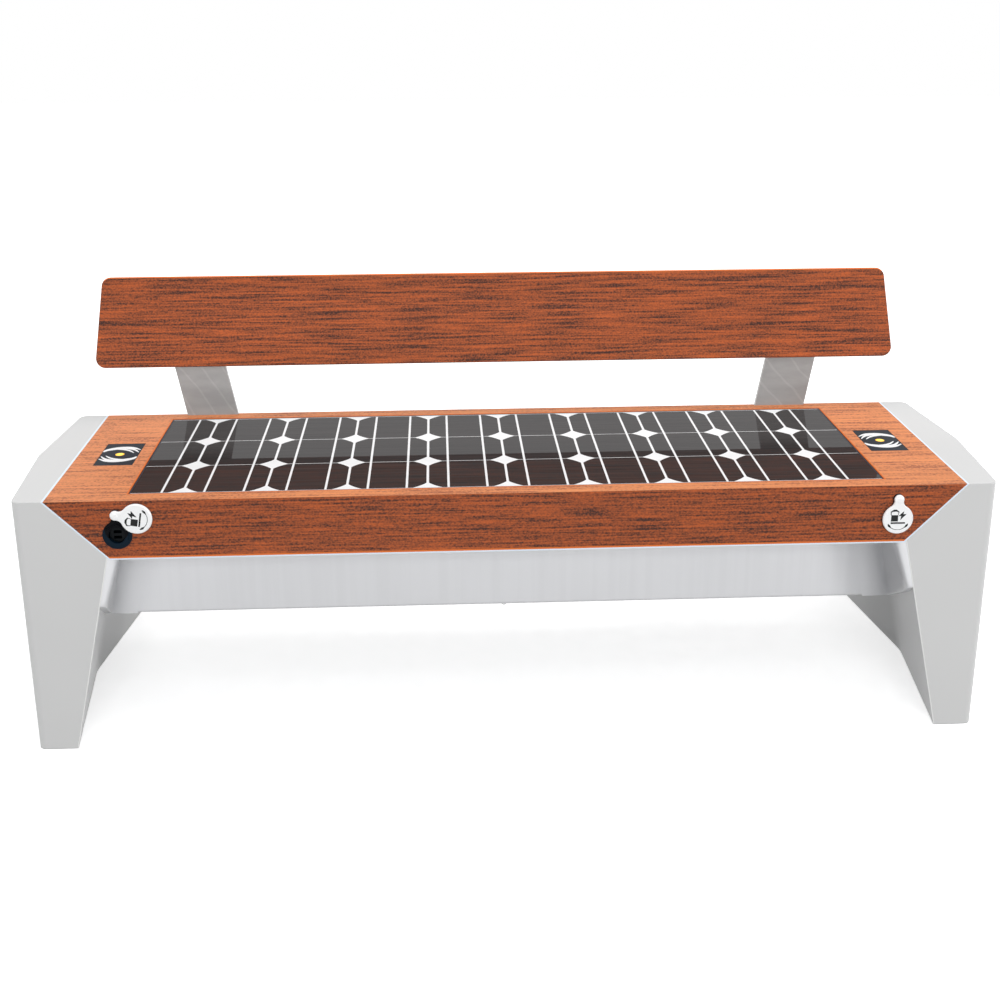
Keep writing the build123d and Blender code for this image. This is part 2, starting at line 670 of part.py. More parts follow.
RAIL_TOP = TIP_HEIGHT + RAIL_HEIGHT
BOX_BACK = SEAT_BACK - BOX_INSET
BOX_FRONT = FRONT + leg_depth(BOX_CLEARANCE) / 2        # where the legs are creased
BOX_DEPTH = BOX_BACK - BOX_FRONT
BOX_MIDDLE = BOX_FRONT + BOX_DEPTH / 2
FRAME_DEPTH = SEAT_DEPTH - 2 * BOARD_THICKNESS
RAIL_MIDDLES = (
    FRONT + BOARD_THICKNESS + RAIL_WIDTH / 2,
    BOX_FRONT + RAIL_WIDTH / 2,
    SEAT_BACK - BOARD_THICKNESS - RAIL_WIDTH / 2,
)
BEARER_X = WOOD_END - MITRE_SLOPE * (SEAT_HEIGHT - RAIL_TOP) - BEARER_WIDTH / 2 - PLATE_CLEARANCE

BEARER_HEIGHT = BOARD_UNDER - RAIL_TOP
CROSS_HEIGHT = MODULE_BASE - RAIL_TOP

# three flat tubes along the bench, their ends cut to the mitre
with BuildPart() as seat_rails:
    for middle in RAIL_MIDDLES:
        with BuildSketch(Plane.YZ):
            with Locations((middle, TIP_HEIGHT + RAIL_HEIGHT / 2)):
                Rectangle(RAIL_WIDTH, RAIL_HEIGHT)
                Rectangle(
                    RAIL_WIDTH - 2 * RAIL_WALL,
                    RAIL_HEIGHT - 2 * RAIL_WALL,
                    mode=Mode.SUBTRACT,
                )
        extrude(amount=FAR / 2, both=True)
    with BuildSketch(Plane.XZ):
        Polygon(*inward_of_mitre(WOOD_END - LEG_END), align=None)
        mirror(about=Plane.YZ)
    extrude(amount=FAR / 2, both=True, mode=Mode.INTERSECT)
    with BuildSketch(Plane.XY.offset(TIP_HEIGHT)):
        with Locations((0, BOX_MIDDLE)):
            with GridLocations(BOX_BOLT_SPACING, BOX_DEPTH - BOX_FLANGE, BOX_BOLT_COUNT, 2):
                Circle(BOX_BOLT / 2 + BOLT_FIT)
    extrude(amount=2 * RAIL_WALL, mode=Mode.SUBTRACT)
write(seat_rails.part, "seat_rails")

# square tubes across them, under the solar module
with BuildPart() as cross_tubes:
    with BuildSketch(Plane.XZ.offset(-SEAT_MIDDLE)):
        with Locations((0, RAIL_TOP + CROSS_HEIGHT / 2)):
            with GridLocations(CROSS_SPREAD / (CROSS_COUNT - 1), 1, CROSS_COUNT, 1):
                Rectangle(CROSS_WIDTH, CROSS_HEIGHT)
                Rectangle(
                    CROSS_WIDTH - 2 * RAIL_WALL,
                    CROSS_HEIGHT - 2 * RAIL_WALL,
                    mode=Mode.SUBTRACT,
                )
    extrude(amount=FRAME_DEPTH / 2, both=True)
write(cross_tubes.part, "cross_tubes")

with BuildPart() as end_bearers:
    with Locations((0, SEAT_MIDDLE, RAIL_TOP + BEARER_HEIGHT / 2)):
        with GridLocations(2 * BEARER_X, 1, 2, 1):
            Box(BEARER_WIDTH, FRAME_DEPTH, BEARER_HEIGHT)
write(end_bearers.part, "end_bearers")

# plates behind the rear board that the backrest supports are bolted to
with BuildPart() as support_brackets:
    with Locations((0, BRACKET_BACK - BRACKET_PLATE / 2, RAIL_TOP + BEARER_HEIGHT / 2)):
        with GridLocations(2 * SUPPORT_X, 1, 2, 1):
            Box(BRACKET_LENGTH, BRACKET_PLATE, BEARER_HEIGHT)
    with BuildSketch(SUPPORT_FACE):
        with GridLocations(2 * SUPPORT_X, 1, 2, 1):
            with GridLocations(SUPPORT_BOLT_SPACING, 1, 2, 1):
                Circle(SUPPORT_BOLT / 2 + BOLT_FIT)
    extrude(amount=-(SUPPORT_GRIP + BOLT_FIT), mode=Mode.SUBTRACT)
write(support_brackets.part, "support_brackets")

# ---------------------------------------------------------------- solar module

MODULE_INSIDE_LENGTH = PANEL_LENGTH - 2 * PANEL_WALL
MODULE_INSIDE_WIDTH = PANEL_WIDTH - 2 * PANEL_WALL
CELLS_TOP = PANEL_TOP - GLASS
CELLS_BASE = CELLS_TOP - CELL_SHEET
LAMINATE_BASE = CELLS_BASE - BACKSHEET

with BuildPart() as solar_frame:
    with Locations((0, SEAT_MIDDLE, PANEL_TOP)):
        down = (Align.CENTER, Align.CENTER, Align.MAX)
        Box(PANEL_LENGTH, PANEL_WIDTH, MODULE_DEPTH, align=down)
        Box(MODULE_INSIDE_LENGTH, MODULE_INSIDE_WIDTH, PANEL_TOP - LAMINATE_BASE, align=down,
            mode=Mode.SUBTRACT)
    with Locations((0, SEAT_MIDDLE, MODULE_BASE)):
        up = (Align.CENTER, Align.CENTER, Align.MIN)
        Box(
            MODULE_INSIDE_LENGTH - 2 * MODULE_FLANGE,
            MODULE_INSIDE_WIDTH - 2 * MODULE_FLANGE,
            MODULE_DEPTH,
            align=up,
            mode=Mode.SUBTRACT,
        )
    with Locations((0, SEAT_MIDDLE, MODULE_BASE + PANEL_WALL)):
        Box(
            MODULE_INSIDE_LENGTH,
            MODULE_INSIDE_WIDTH,
            LAMINATE_BASE - MODULE_BASE - 2 * PANEL_WALL,
            align=up,
            mode=Mode.SUBTRACT,
        )
write(solar_frame.part, "solar_frame")

GLASS_LENGTH = MODULE_INSIDE_LENGTH - 2 * GLASS_GAP
GLASS_WIDTH = MODULE_INSIDE_WIDTH - 2 * GLASS_GAP
with BuildPart() as solar_glass:
    with Locations((0, SEAT_MIDDLE, CELLS_TOP)):
        Box(GLASS_LENGTH, GLASS_WIDTH, GLASS, align=up)
write(solar_glass.part, "solar_glass")

with BuildPart() as solar_backsheet:
    with Locations((0, SEAT_MIDDLE, LAMINATE_BASE)):
        Box(GLASS_LENGTH, GLASS_WIDTH, BACKSHEET, align=up)
write(solar_backsheet.part, "solar_backsheet")

# square cells with cut corners, the outermost columns cut off at the ends of the laminate
COLUMN_PITCH = (PANEL_LENGTH - 2 * END_COLUMN) / (CELL_COLUMNS - 2)
ROW_PITCH = (PANEL_WIDTH - 2 * CELL_MARGIN) / CELL_ROWS
with BuildPart() as solar_cells:
    with BuildSketch(Plane.XY.offset(CELLS_BASE)) as cell_faces:
        with Locations((CELL_SHIFT, SEAT_MIDDLE)):
            with GridLocations(COLUMN_PITCH, ROW_PITCH, CELL_COLUMNS, CELL_ROWS):
                Rectangle(COLUMN_PITCH - CELL_COLUMN_GAP, ROW_PITCH - CELL_ROW_GAP)
        chamfer(cell_faces.vertices(), CELL_CORNER)
        with Locations((0, SEAT_MIDDLE)):
            Rectangle(GLASS_LENGTH - CELL_COLUMN_GAP, GLASS_WIDTH, mode=Mode.INTERSECT)
    extrude(amount=CELL_SHEET)
write(solar_cells.part, "solar_cells")

with BuildPart() as solar_junction_box:
    with Locations((0, SEAT_MIDDLE, LAMINATE_BASE)):
        Box(JUNCTION_LENGTH, JUNCTION_WIDTH, JUNCTION_HEIGHT, align=down)
    chamfer(solar_junction_box.edges().filter_by(Axis.Z), JUNCTION_HEIGHT / 4)
    chamfer(solar_junction_box.faces().sort_by(Axis.Z)[0].edges(), JUNCTION_HEIGHT / 10)
write(solar_junction_box.part, "solar_junction_box")

# ---------------------------------------------------------------- phone charging pads

PAD_TOP = SEAT_HEIGHT - PAD_SINK
PLATE_BASE = PAD_TOP - PAD_PLATE
HOUSING_BASE = SEAT_HEIGHT - PAD_DEPTH
PAD_BODY_WIDTH = PAD_WIDTH - 2 * PAD_LIP
PAD_BODY_LENGTH = PAD_LENGTH - 2 * PAD_LIP

with BuildPart() as right_pad_cover:
    with Locations((PAD_X, SEAT_MIDDLE, PAD_TOP)):
        Box(PAD_WIDTH, PAD_LENGTH, PAD_PLATE, align=down)
        Hole(LED_RADIUS + LED_GAP)

with BuildPart() as right_pad_housing:
    with Locations((PAD_X, SEAT_MIDDLE, PLATE_BASE)):
        Box(PAD_WIDTH, PAD_LENGTH, PAD_LIP_HEIGHT, align=down)
        Box(PAD_BODY_WIDTH, PAD_BODY_LENGTH, PLATE_BASE - HOUSING_BASE, align=down)
        Box(
            PAD_BODY_WIDTH - 2 * PAD_WALL,
            PAD_BODY_LENGTH - 2 * PAD_WALL,
            PLATE_BASE - HOUSING_BASE - PAD_WALL,
            align=down,
            mode=Mode.SUBTRACT,
        )

COIL_BASE = PLATE_BASE - LED_FLANGE - COIL_THICKNESS
with BuildPart() as pad_coils:
    with Locations((PAD_X, SEAT_MIDDLE, COIL_BASE)):
        Cylinder(COIL_RADIUS, COIL_THICKNESS, align=up)
        Cylinder(COIL_BORE, COIL_THICKNESS, align=up, mode=Mode.SUBTRACT)
        Cylinder(COIL_RADIUS, COIL_BASE - HOUSING_BASE - PAD_WALL, align=down)
    mirror(about=Plane.YZ)
write(pad_coils.part, "pad_coils")

with BuildPart() as pad_leds:
    with Locations((PAD_X, SEAT_MIDDLE, PLATE_BASE)):
        Cylinder(LED_RADIUS, PAD_PLATE, align=up)
        Cylinder(LED_RADIUS + LED_FLANGE, LED_FLANGE, align=down)
    mirror(about=Plane.YZ)
write(pad_leds.part, "pad_leds")

for side in ("left", "right"):
    write(on_side(right_pad_cover.part, side), f"{side}_pad_cover")
    write(on_side(right_pad_housing.part, side), f"{side}_pad_housing")

# ---------------------------------------------------------------- charging sockets

PIVOT_ARM = CAP_ARM + CAP_LIFT              # pivot to socket centre
PIVOT_Z = PORT_CENTRE_Z + PIVOT_ARM
EAR_FACE = CAP_FACE - PIVOT_FIT             # top of the boss that the cap turns on


def teardrop(radius, tab, arm):
    """Disc that hangs an arm below a pivot with a tab around it, the pivot at 0, 0."""
    with BuildSketch(mode=Mode.PRIVATE) as outline:
        with Locations((0, -arm)):
            Circle(radius)
        Rectangle(NECK_WIDTH, arm, align=(Align.CENTER, Align.MAX))
        corners = outline.vertices().filter_by(
            lambda corner: abs(abs(corner.X) - NECK_WIDTH / 2) < TAB_RADIUS / 10
            and corner.Y < -TAB_RADIUS
        )
        fillet(corners, NECK_ROUND)
        Circle(tab)
    return outline.sketch


PIVOT_FACE = Plane(origin=(PORT_X, FRONT, PIVOT_Z), x_dir=(1, 0, 0), z_dir=(0, -1, 0))
PORT_FACE = Plane(origin=(PORT_X, FRONT, PORT_CENTRE_Z), x_dir=(1, 0, 0), z_dir=(0, -1, 0))

with BuildPart() as port_gaskets:
    with BuildSketch(PIVOT_FACE):
        add(teardrop(FLANGE_RADIUS - GASKET, TAB_RADIUS - GASKET, PIVOT_ARM))
        with Locations((0, -PIVOT_ARM)):
            Circle(BARREL_RADIUS + BARREL_GAP, mode=Mode.SUBTRACT)
    extrude(amount=GASKET)
    mirror(about=Plane.YZ)
write(port_gaskets.part, "port_gaskets")

with BuildPart() as right_port_bezel:
    with BuildSketch(PIVOT_FACE.offset(GASKET)):
        add(teardrop(FLANGE_RADIUS, TAB_RADIUS, PIVOT_ARM))
    extrude(amount=FLANGE)
    chamfer(right_port_bezel.faces().sort_by(Axis.Y)[0].edges(), FLANGE / 4)
    with BuildSketch(PORT_FACE.offset(GASKET + FLANGE)):
        RegularPolygon(HEX_FLATS / 2, 6, major_radius=False, rotation=30)
    extrude(amount=HEX_HEIGHT)
    with BuildSketch(PIVOT_FACE.offset(GASKET + FLANGE)):
        Circle(PIVOT_BOSS)
    extrude(amount=EAR_FACE - GASKET - FLANGE)
    with BuildSketch(PORT_FACE.offset(GASKET)):
        Circle(BARREL_RADIUS)
    extrude(amount=-(GASKET + BARREL_LENGTH))
    with BuildSketch(PORT_FACE.offset(CAP_FACE)):
        Circle(PORT_BORE)
    extrude(amount=-2 * BARREL_LENGTH, mode=Mode.SUBTRACT)
    with BuildSketch(PIVOT_FACE.offset(CAP_FACE)):
        Circle(PIVOT_RADIUS)
    extrude(amount=-CAP_FACE, mode=Mode.SUBTRACT)

with BuildPart() as port_nuts:
    with BuildSketch(PORT_FACE.offset(-BOARD_THICKNESS)):
        RegularPolygon(NUT_FLATS / 2, 6, major_radius=False, rotation=30)
        Circle(BARREL_RADIUS + THREAD_GAP, mode=Mode.SUBTRACT)
    extrude(amount=-NUT_HEIGHT)
    mirror(about=Plane.YZ)
write(port_nuts.part, "port_nuts")

SOCKET_FACE = PORT_FACE.offset(GASKET + FLANGE - SOCKET_RECESS)
with BuildPart() as right_port_socket:
    with BuildSketch(SOCKET_FACE):
        Circle(PORT_BORE - SOCKET_GAP)
    extrude(amount=-(BARREL_LENGTH - BOARD_THICKNESS / 5))
    chamfer(right_port_socket.faces().sort_by(Axis.Y)[0].edges(), SOCKET_GAP * 8)
    with BuildSketch(SOCKET_FACE):
        with GridLocations(1, USB_SPACING, 1, 2):
            Rectangle(USB_WIDTH, USB_HEIGHT)
    extrude(amount=-USB_DEPTH, mode=Mode.SUBTRACT)

with BuildPart() as cap_pivots:
    with BuildSketch(PIVOT_FACE.offset(CAP_FACE + CAP_THICKNESS + PIVOT_FIT)):
        Circle(PIVOT_HEAD)
    extrude(amount=PIVOT_HEAD_HEIGHT - PIVOT_FIT)
    chamfer(cap_pivots.faces().sort_by(Axis.Y)[0].edges(), PIVOT_HEAD_HEIGHT / 3)
    with BuildSketch(PIVOT_FACE.offset(CAP_FACE + CAP_THICKNESS + PIVOT_FIT)):
        Circle(PIVOT_RADIUS)
    extrude(amount=-(CAP_THICKNESS + CAP_FACE + PIVOT_FIT - GASKET))
    mirror(about=Plane.YZ)
write(cap_pivots.part, "cap_pivots")

with BuildPart() as right_cap:
    with BuildSketch(PIVOT_FACE.offset(CAP_FACE)):
        add(teardrop(CAP_RADIUS, TAB_RADIUS, CAP_ARM))
    extrude(amount=CAP_THICKNESS)
    chamfer(right_cap.faces().sort_by(Axis.Y)[0].edges(), CAP_EDGE)
    with BuildSketch(PIVOT_FACE.offset(CAP_FACE)):
        with Locations((0, -CAP_ARM)):
            Circle(CAP_RADIUS - 2 * CAP_HOLLOW)
    extrude(amount=CAP_HOLLOW, mode=Mode.SUBTRACT)
    with BuildSketch(PIVOT_FACE.offset(CAP_FACE)):
        Circle(PIVOT_RADIUS + PIVOT_FIT)
    extrude(amount=CAP_THICKNESS, mode=Mode.SUBTRACT)

# the left socket is the same, with its cap swung aside about its pivot
LEFT_PIVOT = Axis((-PORT_X, FRONT, PIVOT_Z), (0, -1, 0))
for side in ("left", "right"):
    write(on_side(right_port_bezel.part, side), f"{side}_port_bezel")
    write(on_side(right_port_socket.part, side), f"{side}_port_socket")
write(right_cap.part, "right_cap")
left_cap = on_side(right_cap.part, "left").rotate(LEFT_PIVOT, OPEN_ANGLE)
write(left_cap, "left_cap")

# ---------------------------------------------------------------- box under the seat

BOX_HEIGHT = TIP_HEIGHT - BOX_CLEARANCE
HATCH_BASE = BOX_CLEARANCE + HATCH_RAISE
HATCH_TOP = TIP_HEIGHT - HATCH_DROP
HATCH_HEIGHT = HATCH_TOP - HATCH_BASE


def box_end(gap):
    """Plane that runs along the right leg's inner wall behind its crease, a gap away."""
    corners = [
        Vector(inner_face(height, back) - gap, FRONT + back, height)
        for height, back in ((0, 0.9 * SEAT_DEPTH), (0, 0.7 * SEAT_DEPTH), (TIP_HEIGHT, 0.8 * SEAT_DEPTH))
    ]
    across = corners[1] - corners[0]
    normal = across.cross(corners[2] - corners[0])
    return Plane(origin=corners[0], x_dir=across, z_dir=normal if normal.X > 0 else -normal)


# door: a shallow pan over the opening, hinged along its lower edge
DOOR_LENGTH = HATCH_LENGTH + 2 * DOOR_LAP
DOOR_HEIGHT = HATCH_HEIGHT + 2 * DOOR_LAP
DOOR_BASE = HATCH_BASE - DOOR_LAP
DOOR_BACK = BOX_BACK + DOOR_GAP + DOOR_FOLD
HINGE_Y = BOX_BACK + HINGE_LEAF + HINGE_PIN + HINGE_WALL
HINGE_Z = DOOR_BASE - HINGE_DROP
KNUCKLE_RADIUS = HINGE_PIN + HINGE_FIT + HINGE_WALL
LOCK_Z = HATCH_TOP - LOCK_DROP
DOOR_OUTSIDE = Plane(origin=(0, DOOR_BACK, LOCK_Z), x_dir=(-1, 0, 0), z_dir=(0, 1, 0))

HINGE_MIDDLES = (-HINGE_SPREAD / 2, HINGE_SPREAD / 2)
BOX_FLOOR = BOX_CLEARANCE + BOX_WALL
STRAP_SPACE = BOX_BEND + STRAP_FOOT + STRAP_PLATE
BATTERY_DEPTH = BOX_DEPTH - 2 * STRAP_SPACE - BATTERY_ROOM
BATTERY_Y = BOX_FRONT + STRAP_SPACE + BATTERY_DEPTH / 2
STRAP_BOLT_SPREAD = BATTERY_DEPTH + 2 * STRAP_PLATE + STRAP_FOOT

# the box: a folded trough with flanges along its top, closed by a plate at each end
with BuildPart() as box_form:
    with BuildSketch(Plane.YZ):
        with Locations((BOX_MIDDLE, BOX_CLEARANCE + BOX_HEIGHT / 2)):
            Rectangle(BOX_DEPTH, BOX_HEIGHT)
    extrude(amount=FAR / 2)
    fillet(box_form.edges().filter_by(Axis.X).group_by(Axis.Z)[0], BOX_BEND)
    split(bisect_by=box_end(BOX_END_GAP), keep=Keep.BOTTOM)

with BuildPart() as box_ends:
    add(box_form.part)
    split(bisect_by=box_end(BOX_END_GAP + BOX_WALL), keep=Keep.TOP)
    mirror(about=Plane.YZ)
write(box_ends.part, "box_ends")

with BuildPart() as battery_box:
    add(box_form.part)
    split(bisect_by=box_end(BOX_END_GAP + BOX_WALL), keep=Keep.BOTTOM)
    mirror(about=Plane.YZ)
    with BuildSketch(Plane.YZ) as box_inside:
        with Locations((BOX_MIDDLE, BOX_FLOOR)):
            Rectangle(BOX_DEPTH - 2 * BOX_WALL, BOX_HEIGHT, align=(Align.CENTER, Align.MIN))
        fillet(box_inside.vertices().group_by(Axis.Y)[0], BOX_BEND - BOX_WALL)
    extrude(amount=FAR / 2, both=True, mode=Mode.SUBTRACT)
    with Locations((0, BOX_BACK, HATCH_BASE + HATCH_HEIGHT / 2)):
        Box(HATCH_LENGTH, 4 * BOX_WALL, HATCH_HEIGHT, mode=Mode.SUBTRACT)
    with BuildSketch(Plane.XY.offset(BOX_FLOOR)):
        with Locations((0, BATTERY_Y)):
            with GridLocations(1, STRAP_BOLT_SPREAD, 1, 2):
                Circle(STRAP_BOLT / 2 + BOLT_FIT)
    extrude(amount=-2 * BOX_WALL, mode=Mode.SUBTRACT)
write(battery_box.part, "battery_box")

# strips welded inside the top of its walls, with the holes that it hangs by
with BuildPart() as box_flanges:
    add(box_form.part)
    split(bisect_by=box_end(BOX_END_GAP + BOX_WALL), keep=Keep.BOTTOM)
    mirror(about=Plane.YZ)
    with BuildSketch(Plane.YZ):
        with Locations((BOX_MIDDLE, TIP_HEIGHT - BOX_WALL / 2)):
            with GridLocations(BOX_DEPTH - BOX_WALL - BOX_FLANGE, 1, 2, 1):
                Rectangle(BOX_FLANGE - BOX_WALL, BOX_WALL)
    extrude(amount=FAR / 2, both=True, mode=Mode.INTERSECT)
    with BuildSketch(Plane.XY.offset(TIP_HEIGHT)):
        with Locations((0, BOX_MIDDLE)):
            with GridLocations(BOX_BOLT_SPACING, BOX_DEPTH - BOX_FLANGE, BOX_BOLT_COUNT, 2):
                Circle(BOX_BOLT / 2 + BOLT_FIT)
    extrude(amount=-2 * BOX_WALL, mode=Mode.SUBTRACT)
write(box_flanges.part, "box_flanges")

# Hollow corner pieces round off the step from the box's front to the legs. Each is drawn
# at the height of the box's underside, and leans inward with the leg.
COVE_CORNER = Vector(inner_face(BOX_CLEARANCE, BOX_FRONT - FRONT), BOX_FRONT)
ALONG_BOX = Vector(-1, 0)
ALONG_LEG = Vector(-INNER_SLOPE, -1).normalized()
COVE_ANGLE = radians(ALONG_BOX.get_angle(ALONG_LEG))
COVE_REACH = COVE_RADIUS / tan(COVE_ANGLE / 2)
COVE_CENTRE = COVE_CORNER + (ALONG_BOX + ALONG_LEG).normalized() * (COVE_RADIUS / sin(COVE_ANGLE / 2))
COVE_DEEPEST = COVE_CENTRE + (COVE_CORNER - COVE_CENTRE).normalized() * COVE_RADIUS

with BuildPart() as box_coves:
    with BuildSketch(Plane.XY.offset(BOX_CLEARANCE)):
        with BuildLine():
            on_box = COVE_CORNER + ALONG_BOX * COVE_REACH
            on_leg = COVE_CORNER + ALONG_LEG * COVE_REACH
            ThreePointArc(on_leg, COVE_DEEPEST, on_box)
            Polyline(on_box, COVE_CORNER, on_leg)
        make_face()
    extrude(amount=BOX_HEIGHT * hypot(1, LEAN), dir=(-LEAN, 0, 1))
    add(leg_body.part, mode=Mode.SUBTRACT)
    mirror(about=Plane.YZ)
write(box_coves.part, "box_coves")

# bolts that hang the box under the two rails
with BuildPart() as box_bolts:
    with BuildSketch(Plane.XY.offset(TIP_HEIGHT - BOX_WALL)):
        with Locations((0, BOX_MIDDLE)):
            with GridLocations(BOX_BOLT_SPACING, BOX_DEPTH - BOX_FLANGE, BOX_BOLT_COUNT, 2):
                RegularPolygon(BOX_BOLT, 6)
    extrude(amount=-BOX_BOLT * 0.6)
    with BuildSketch(Plane.XY.offset(TIP_HEIGHT - BOX_WALL)):
        with Locations((0, BOX_MIDDLE)):
            with GridLocations(BOX_BOLT_SPACING, BOX_DEPTH - BOX_FLANGE, BOX_BOLT_COUNT, 2):
                Circle(BOX_BOLT / 2)
    extrude(amount=BOX_WALL + RAIL_HEIGHT / 2)
write(box_bolts.part, "box_bolts")

with BuildPart() as service_door:
    with Locations((0, BOX_BACK + DOOR_GAP + DOOR_FOLD / 2, DOOR_BASE + DOOR_HEIGHT / 2)):
        Box(DOOR_LENGTH, DOOR_FOLD, DOOR_HEIGHT)
    chamfer(service_door.faces().sort_by(Axis.Y)[-1].edges(), DOOR_PLATE / 2)
    offset(amount=-DOOR_PLATE, openings=service_door.faces().sort_by(Axis.Y)[0])
    for middle in HINGE_MIDDLES:
        with BuildSketch(Plane.YZ.offset(middle)):
            with Locations((HINGE_Y, HINGE_Z)):
                Rectangle(HINGE_WALL, HINGE_DROP + DOOR_PLATE / 2, align=(Align.CENTER, Align.MIN))
                Circle(KNUCKLE_RADIUS)
                Circle(HINGE_PIN + HINGE_FIT, mode=Mode.SUBTRACT)
        extrude(amount=KNUCKLE / 2, both=True)
    with BuildSketch(DOOR_OUTSIDE):
        Circle(LOCK_RADIUS + LOCK_FIT)
    extrude(amount=-2 * DOOR_PLATE, mode=Mode.SUBTRACT)
write(service_door.part, "service_door")

# the fixed half of each hinge: a leaf welded to the box, with two outer knuckles
with BuildPart() as door_hinges:
    for middle in HINGE_MIDDLES:
        for outward in (-1, 1):
            with BuildSketch(Plane.YZ.offset(middle + outward * (KNUCKLE + KNUCKLE_GAP))):
                with Locations((HINGE_Y, HINGE_Z)):
                    Rectangle(HINGE_Y - BOX_BACK, KNUCKLE_RADIUS, align=(Align.MAX, Align.MAX))
                    Circle(KNUCKLE_RADIUS)
                    Circle(HINGE_PIN + HINGE_FIT, mode=Mode.SUBTRACT)
            extrude(amount=KNUCKLE / 2, both=True)
        with Locations((middle, BOX_BACK, HINGE_Z - KNUCKLE_RADIUS)):
            Box(
                3 * KNUCKLE + 2 * KNUCKLE_GAP,
                HINGE_LEAF,
                LEAF_HEIGHT,
                align=(Align.CENTER, Align.MIN, Align.MAX),
            )
write(door_hinges.part, "door_hinges")

PIN_LENGTH = 3 * KNUCKLE + 2 * KNUCKLE_GAP
with BuildPart() as hinge_pins:
    for middle in HINGE_MIDDLES:
        with BuildSketch(Plane.YZ.offset(middle)):
            with Locations((HINGE_Y, HINGE_Z)):
                Circle(HINGE_PIN)
        extrude(amount=PIN_LENGTH / 2, both=True)
        for outward in (-1, 1):
            with BuildSketch(Plane.YZ.offset(middle + outward * (PIN_LENGTH + HINGE_WALL) / 2)):
                with Locations((HINGE_Y, HINGE_Z)):
                    Circle(HINGE_PIN + HINGE_WALL / 2)
            extrude(amount=HINGE_WALL / 2, both=True)
write(hinge_pins.part, "hinge_pins")

# quarter-turn lock; its cam lies level here, which leaves the door free to open
LOCK_REACH = DOOR_FOLD + DOOR_GAP + BOX_WALL + CAM_GAP     # from the door's outside to the cam
with BuildPart() as lock_housing:
    with BuildSketch(DOOR_OUTSIDE):
        Circle(LOCK_HEAD)
    extrude(amount=LOCK_HEAD_HEIGHT)
    with BuildSketch(DOOR_OUTSIDE):
        Circle(LOCK_RADIUS)
    extrude(amount=CAM_GAP / 2 - LOCK_REACH)
    with BuildSketch(DOOR_OUTSIDE.offset(LOCK_HEAD_HEIGHT)):
        Circle(LOCK_CORE + LOCK_FIT)
    extrude(amount=-2 * LOCK_REACH, mode=Mode.SUBTRACT)
write(lock_housing.part, "lock_housing")

with BuildPart() as lock_nut:
    with BuildSketch(DOOR_OUTSIDE.offset(-DOOR_PLATE)):
        RegularPolygon(LOCK_NUT_FLATS / 2, 6, major_radius=False)
        Circle(LOCK_RADIUS, mode=Mode.SUBTRACT)
    extrude(amount=-LOCK_NUT)
write(lock_nut.part, "lock_nut")

with BuildPart() as lock_cam:
    with BuildSketch(DOOR_OUTSIDE.offset(LOCK_HEAD_HEIGHT)):
        Circle(LOCK_CORE)
    extrude(amount=-(LOCK_HEAD_HEIGHT + LOCK_REACH))
    with BuildSketch(DOOR_OUTSIDE.offset(LOCK_HEAD_HEIGHT)):
        Rectangle(LOCK_CORE, LOCK_CORE / 3)
    extrude(amount=-LOCK_CORE, mode=Mode.SUBTRACT)
    with BuildSketch(DOOR_OUTSIDE.offset(-LOCK_REACH)) as cam_outline:
        Rectangle(CAM_LENGTH, CAM_WIDTH, align=(Align.MIN, Align.CENTER))
        fillet(cam_outline.vertices().group_by(Axis.X)[-1], CAM_WIDTH / 4)
        Circle(CAM_WIDTH / 2)
    extrude(amount=-CAM_PLATE)
    with BuildSketch(DOOR_OUTSIDE.offset(-LOCK_REACH - CAM_PLATE)):
        RegularPolygon(LOCK_CORE * 0.8, 6)
    extrude(amount=-CAM_PLATE)
write(lock_cam.part, "lock_cam")

# ---------------------------------------------------------------- inside the box

with BuildPart() as battery_pack:
    with Locations((0, BATTERY_Y, BOX_FLOOR)):
        Box(BATTERY_LENGTH, BATTERY_DEPTH, BATTERY_HEIGHT, align=up)
    chamfer(battery_pack.faces().sort_by(Axis.Z)[-1].edges(), BATTERY_EDGE)
    with Locations((0, BATTERY_Y, BOX_FLOOR + BATTERY_HEIGHT)):
        with GridLocations(BATTERY_LENGTH - 4 * TERMINAL, 1, 2, 1):
            Cylinder(TERMINAL, TERMINAL / 2, align=up)
            Cylinder(TERMINAL / 2, TERMINAL * 1.5, align=up)
write(battery_pack.part, "battery_pack")

# steel band that holds the battery down, bolted through the floor in front and behind
with BuildPart() as battery_strap:
    with Locations((0, BATTERY_Y, BOX_FLOOR)):
        Box(
            STRAP_WIDTH,
            BATTERY_DEPTH + 2 * STRAP_PLATE,
            BATTERY_HEIGHT + STRAP_PLATE,
            align=up,
        )
    chamfer(battery_strap.edges().filter_by(Axis.X).group_by(Axis.Z)[-1], BATTERY_EDGE + STRAP_PLATE / 2)
    with Locations((0, BATTERY_Y, BOX_FLOOR)):
        Box(STRAP_WIDTH, STRAP_BOLT_SPREAD + STRAP_FOOT, STRAP_PLATE, align=up)
    add(battery_pack.part, mode=Mode.SUBTRACT)
    with BuildSketch(Plane.XY.offset(BOX_FLOOR)):
        with Locations((0, BATTERY_Y)):
            with GridLocations(1, STRAP_BOLT_SPREAD, 1, 2):
                Circle(STRAP_BOLT / 2 + BOLT_FIT)
    extrude(amount=2 * STRAP_PLATE, mode=Mode.SUBTRACT)
write(battery_strap.part, "battery_strap")

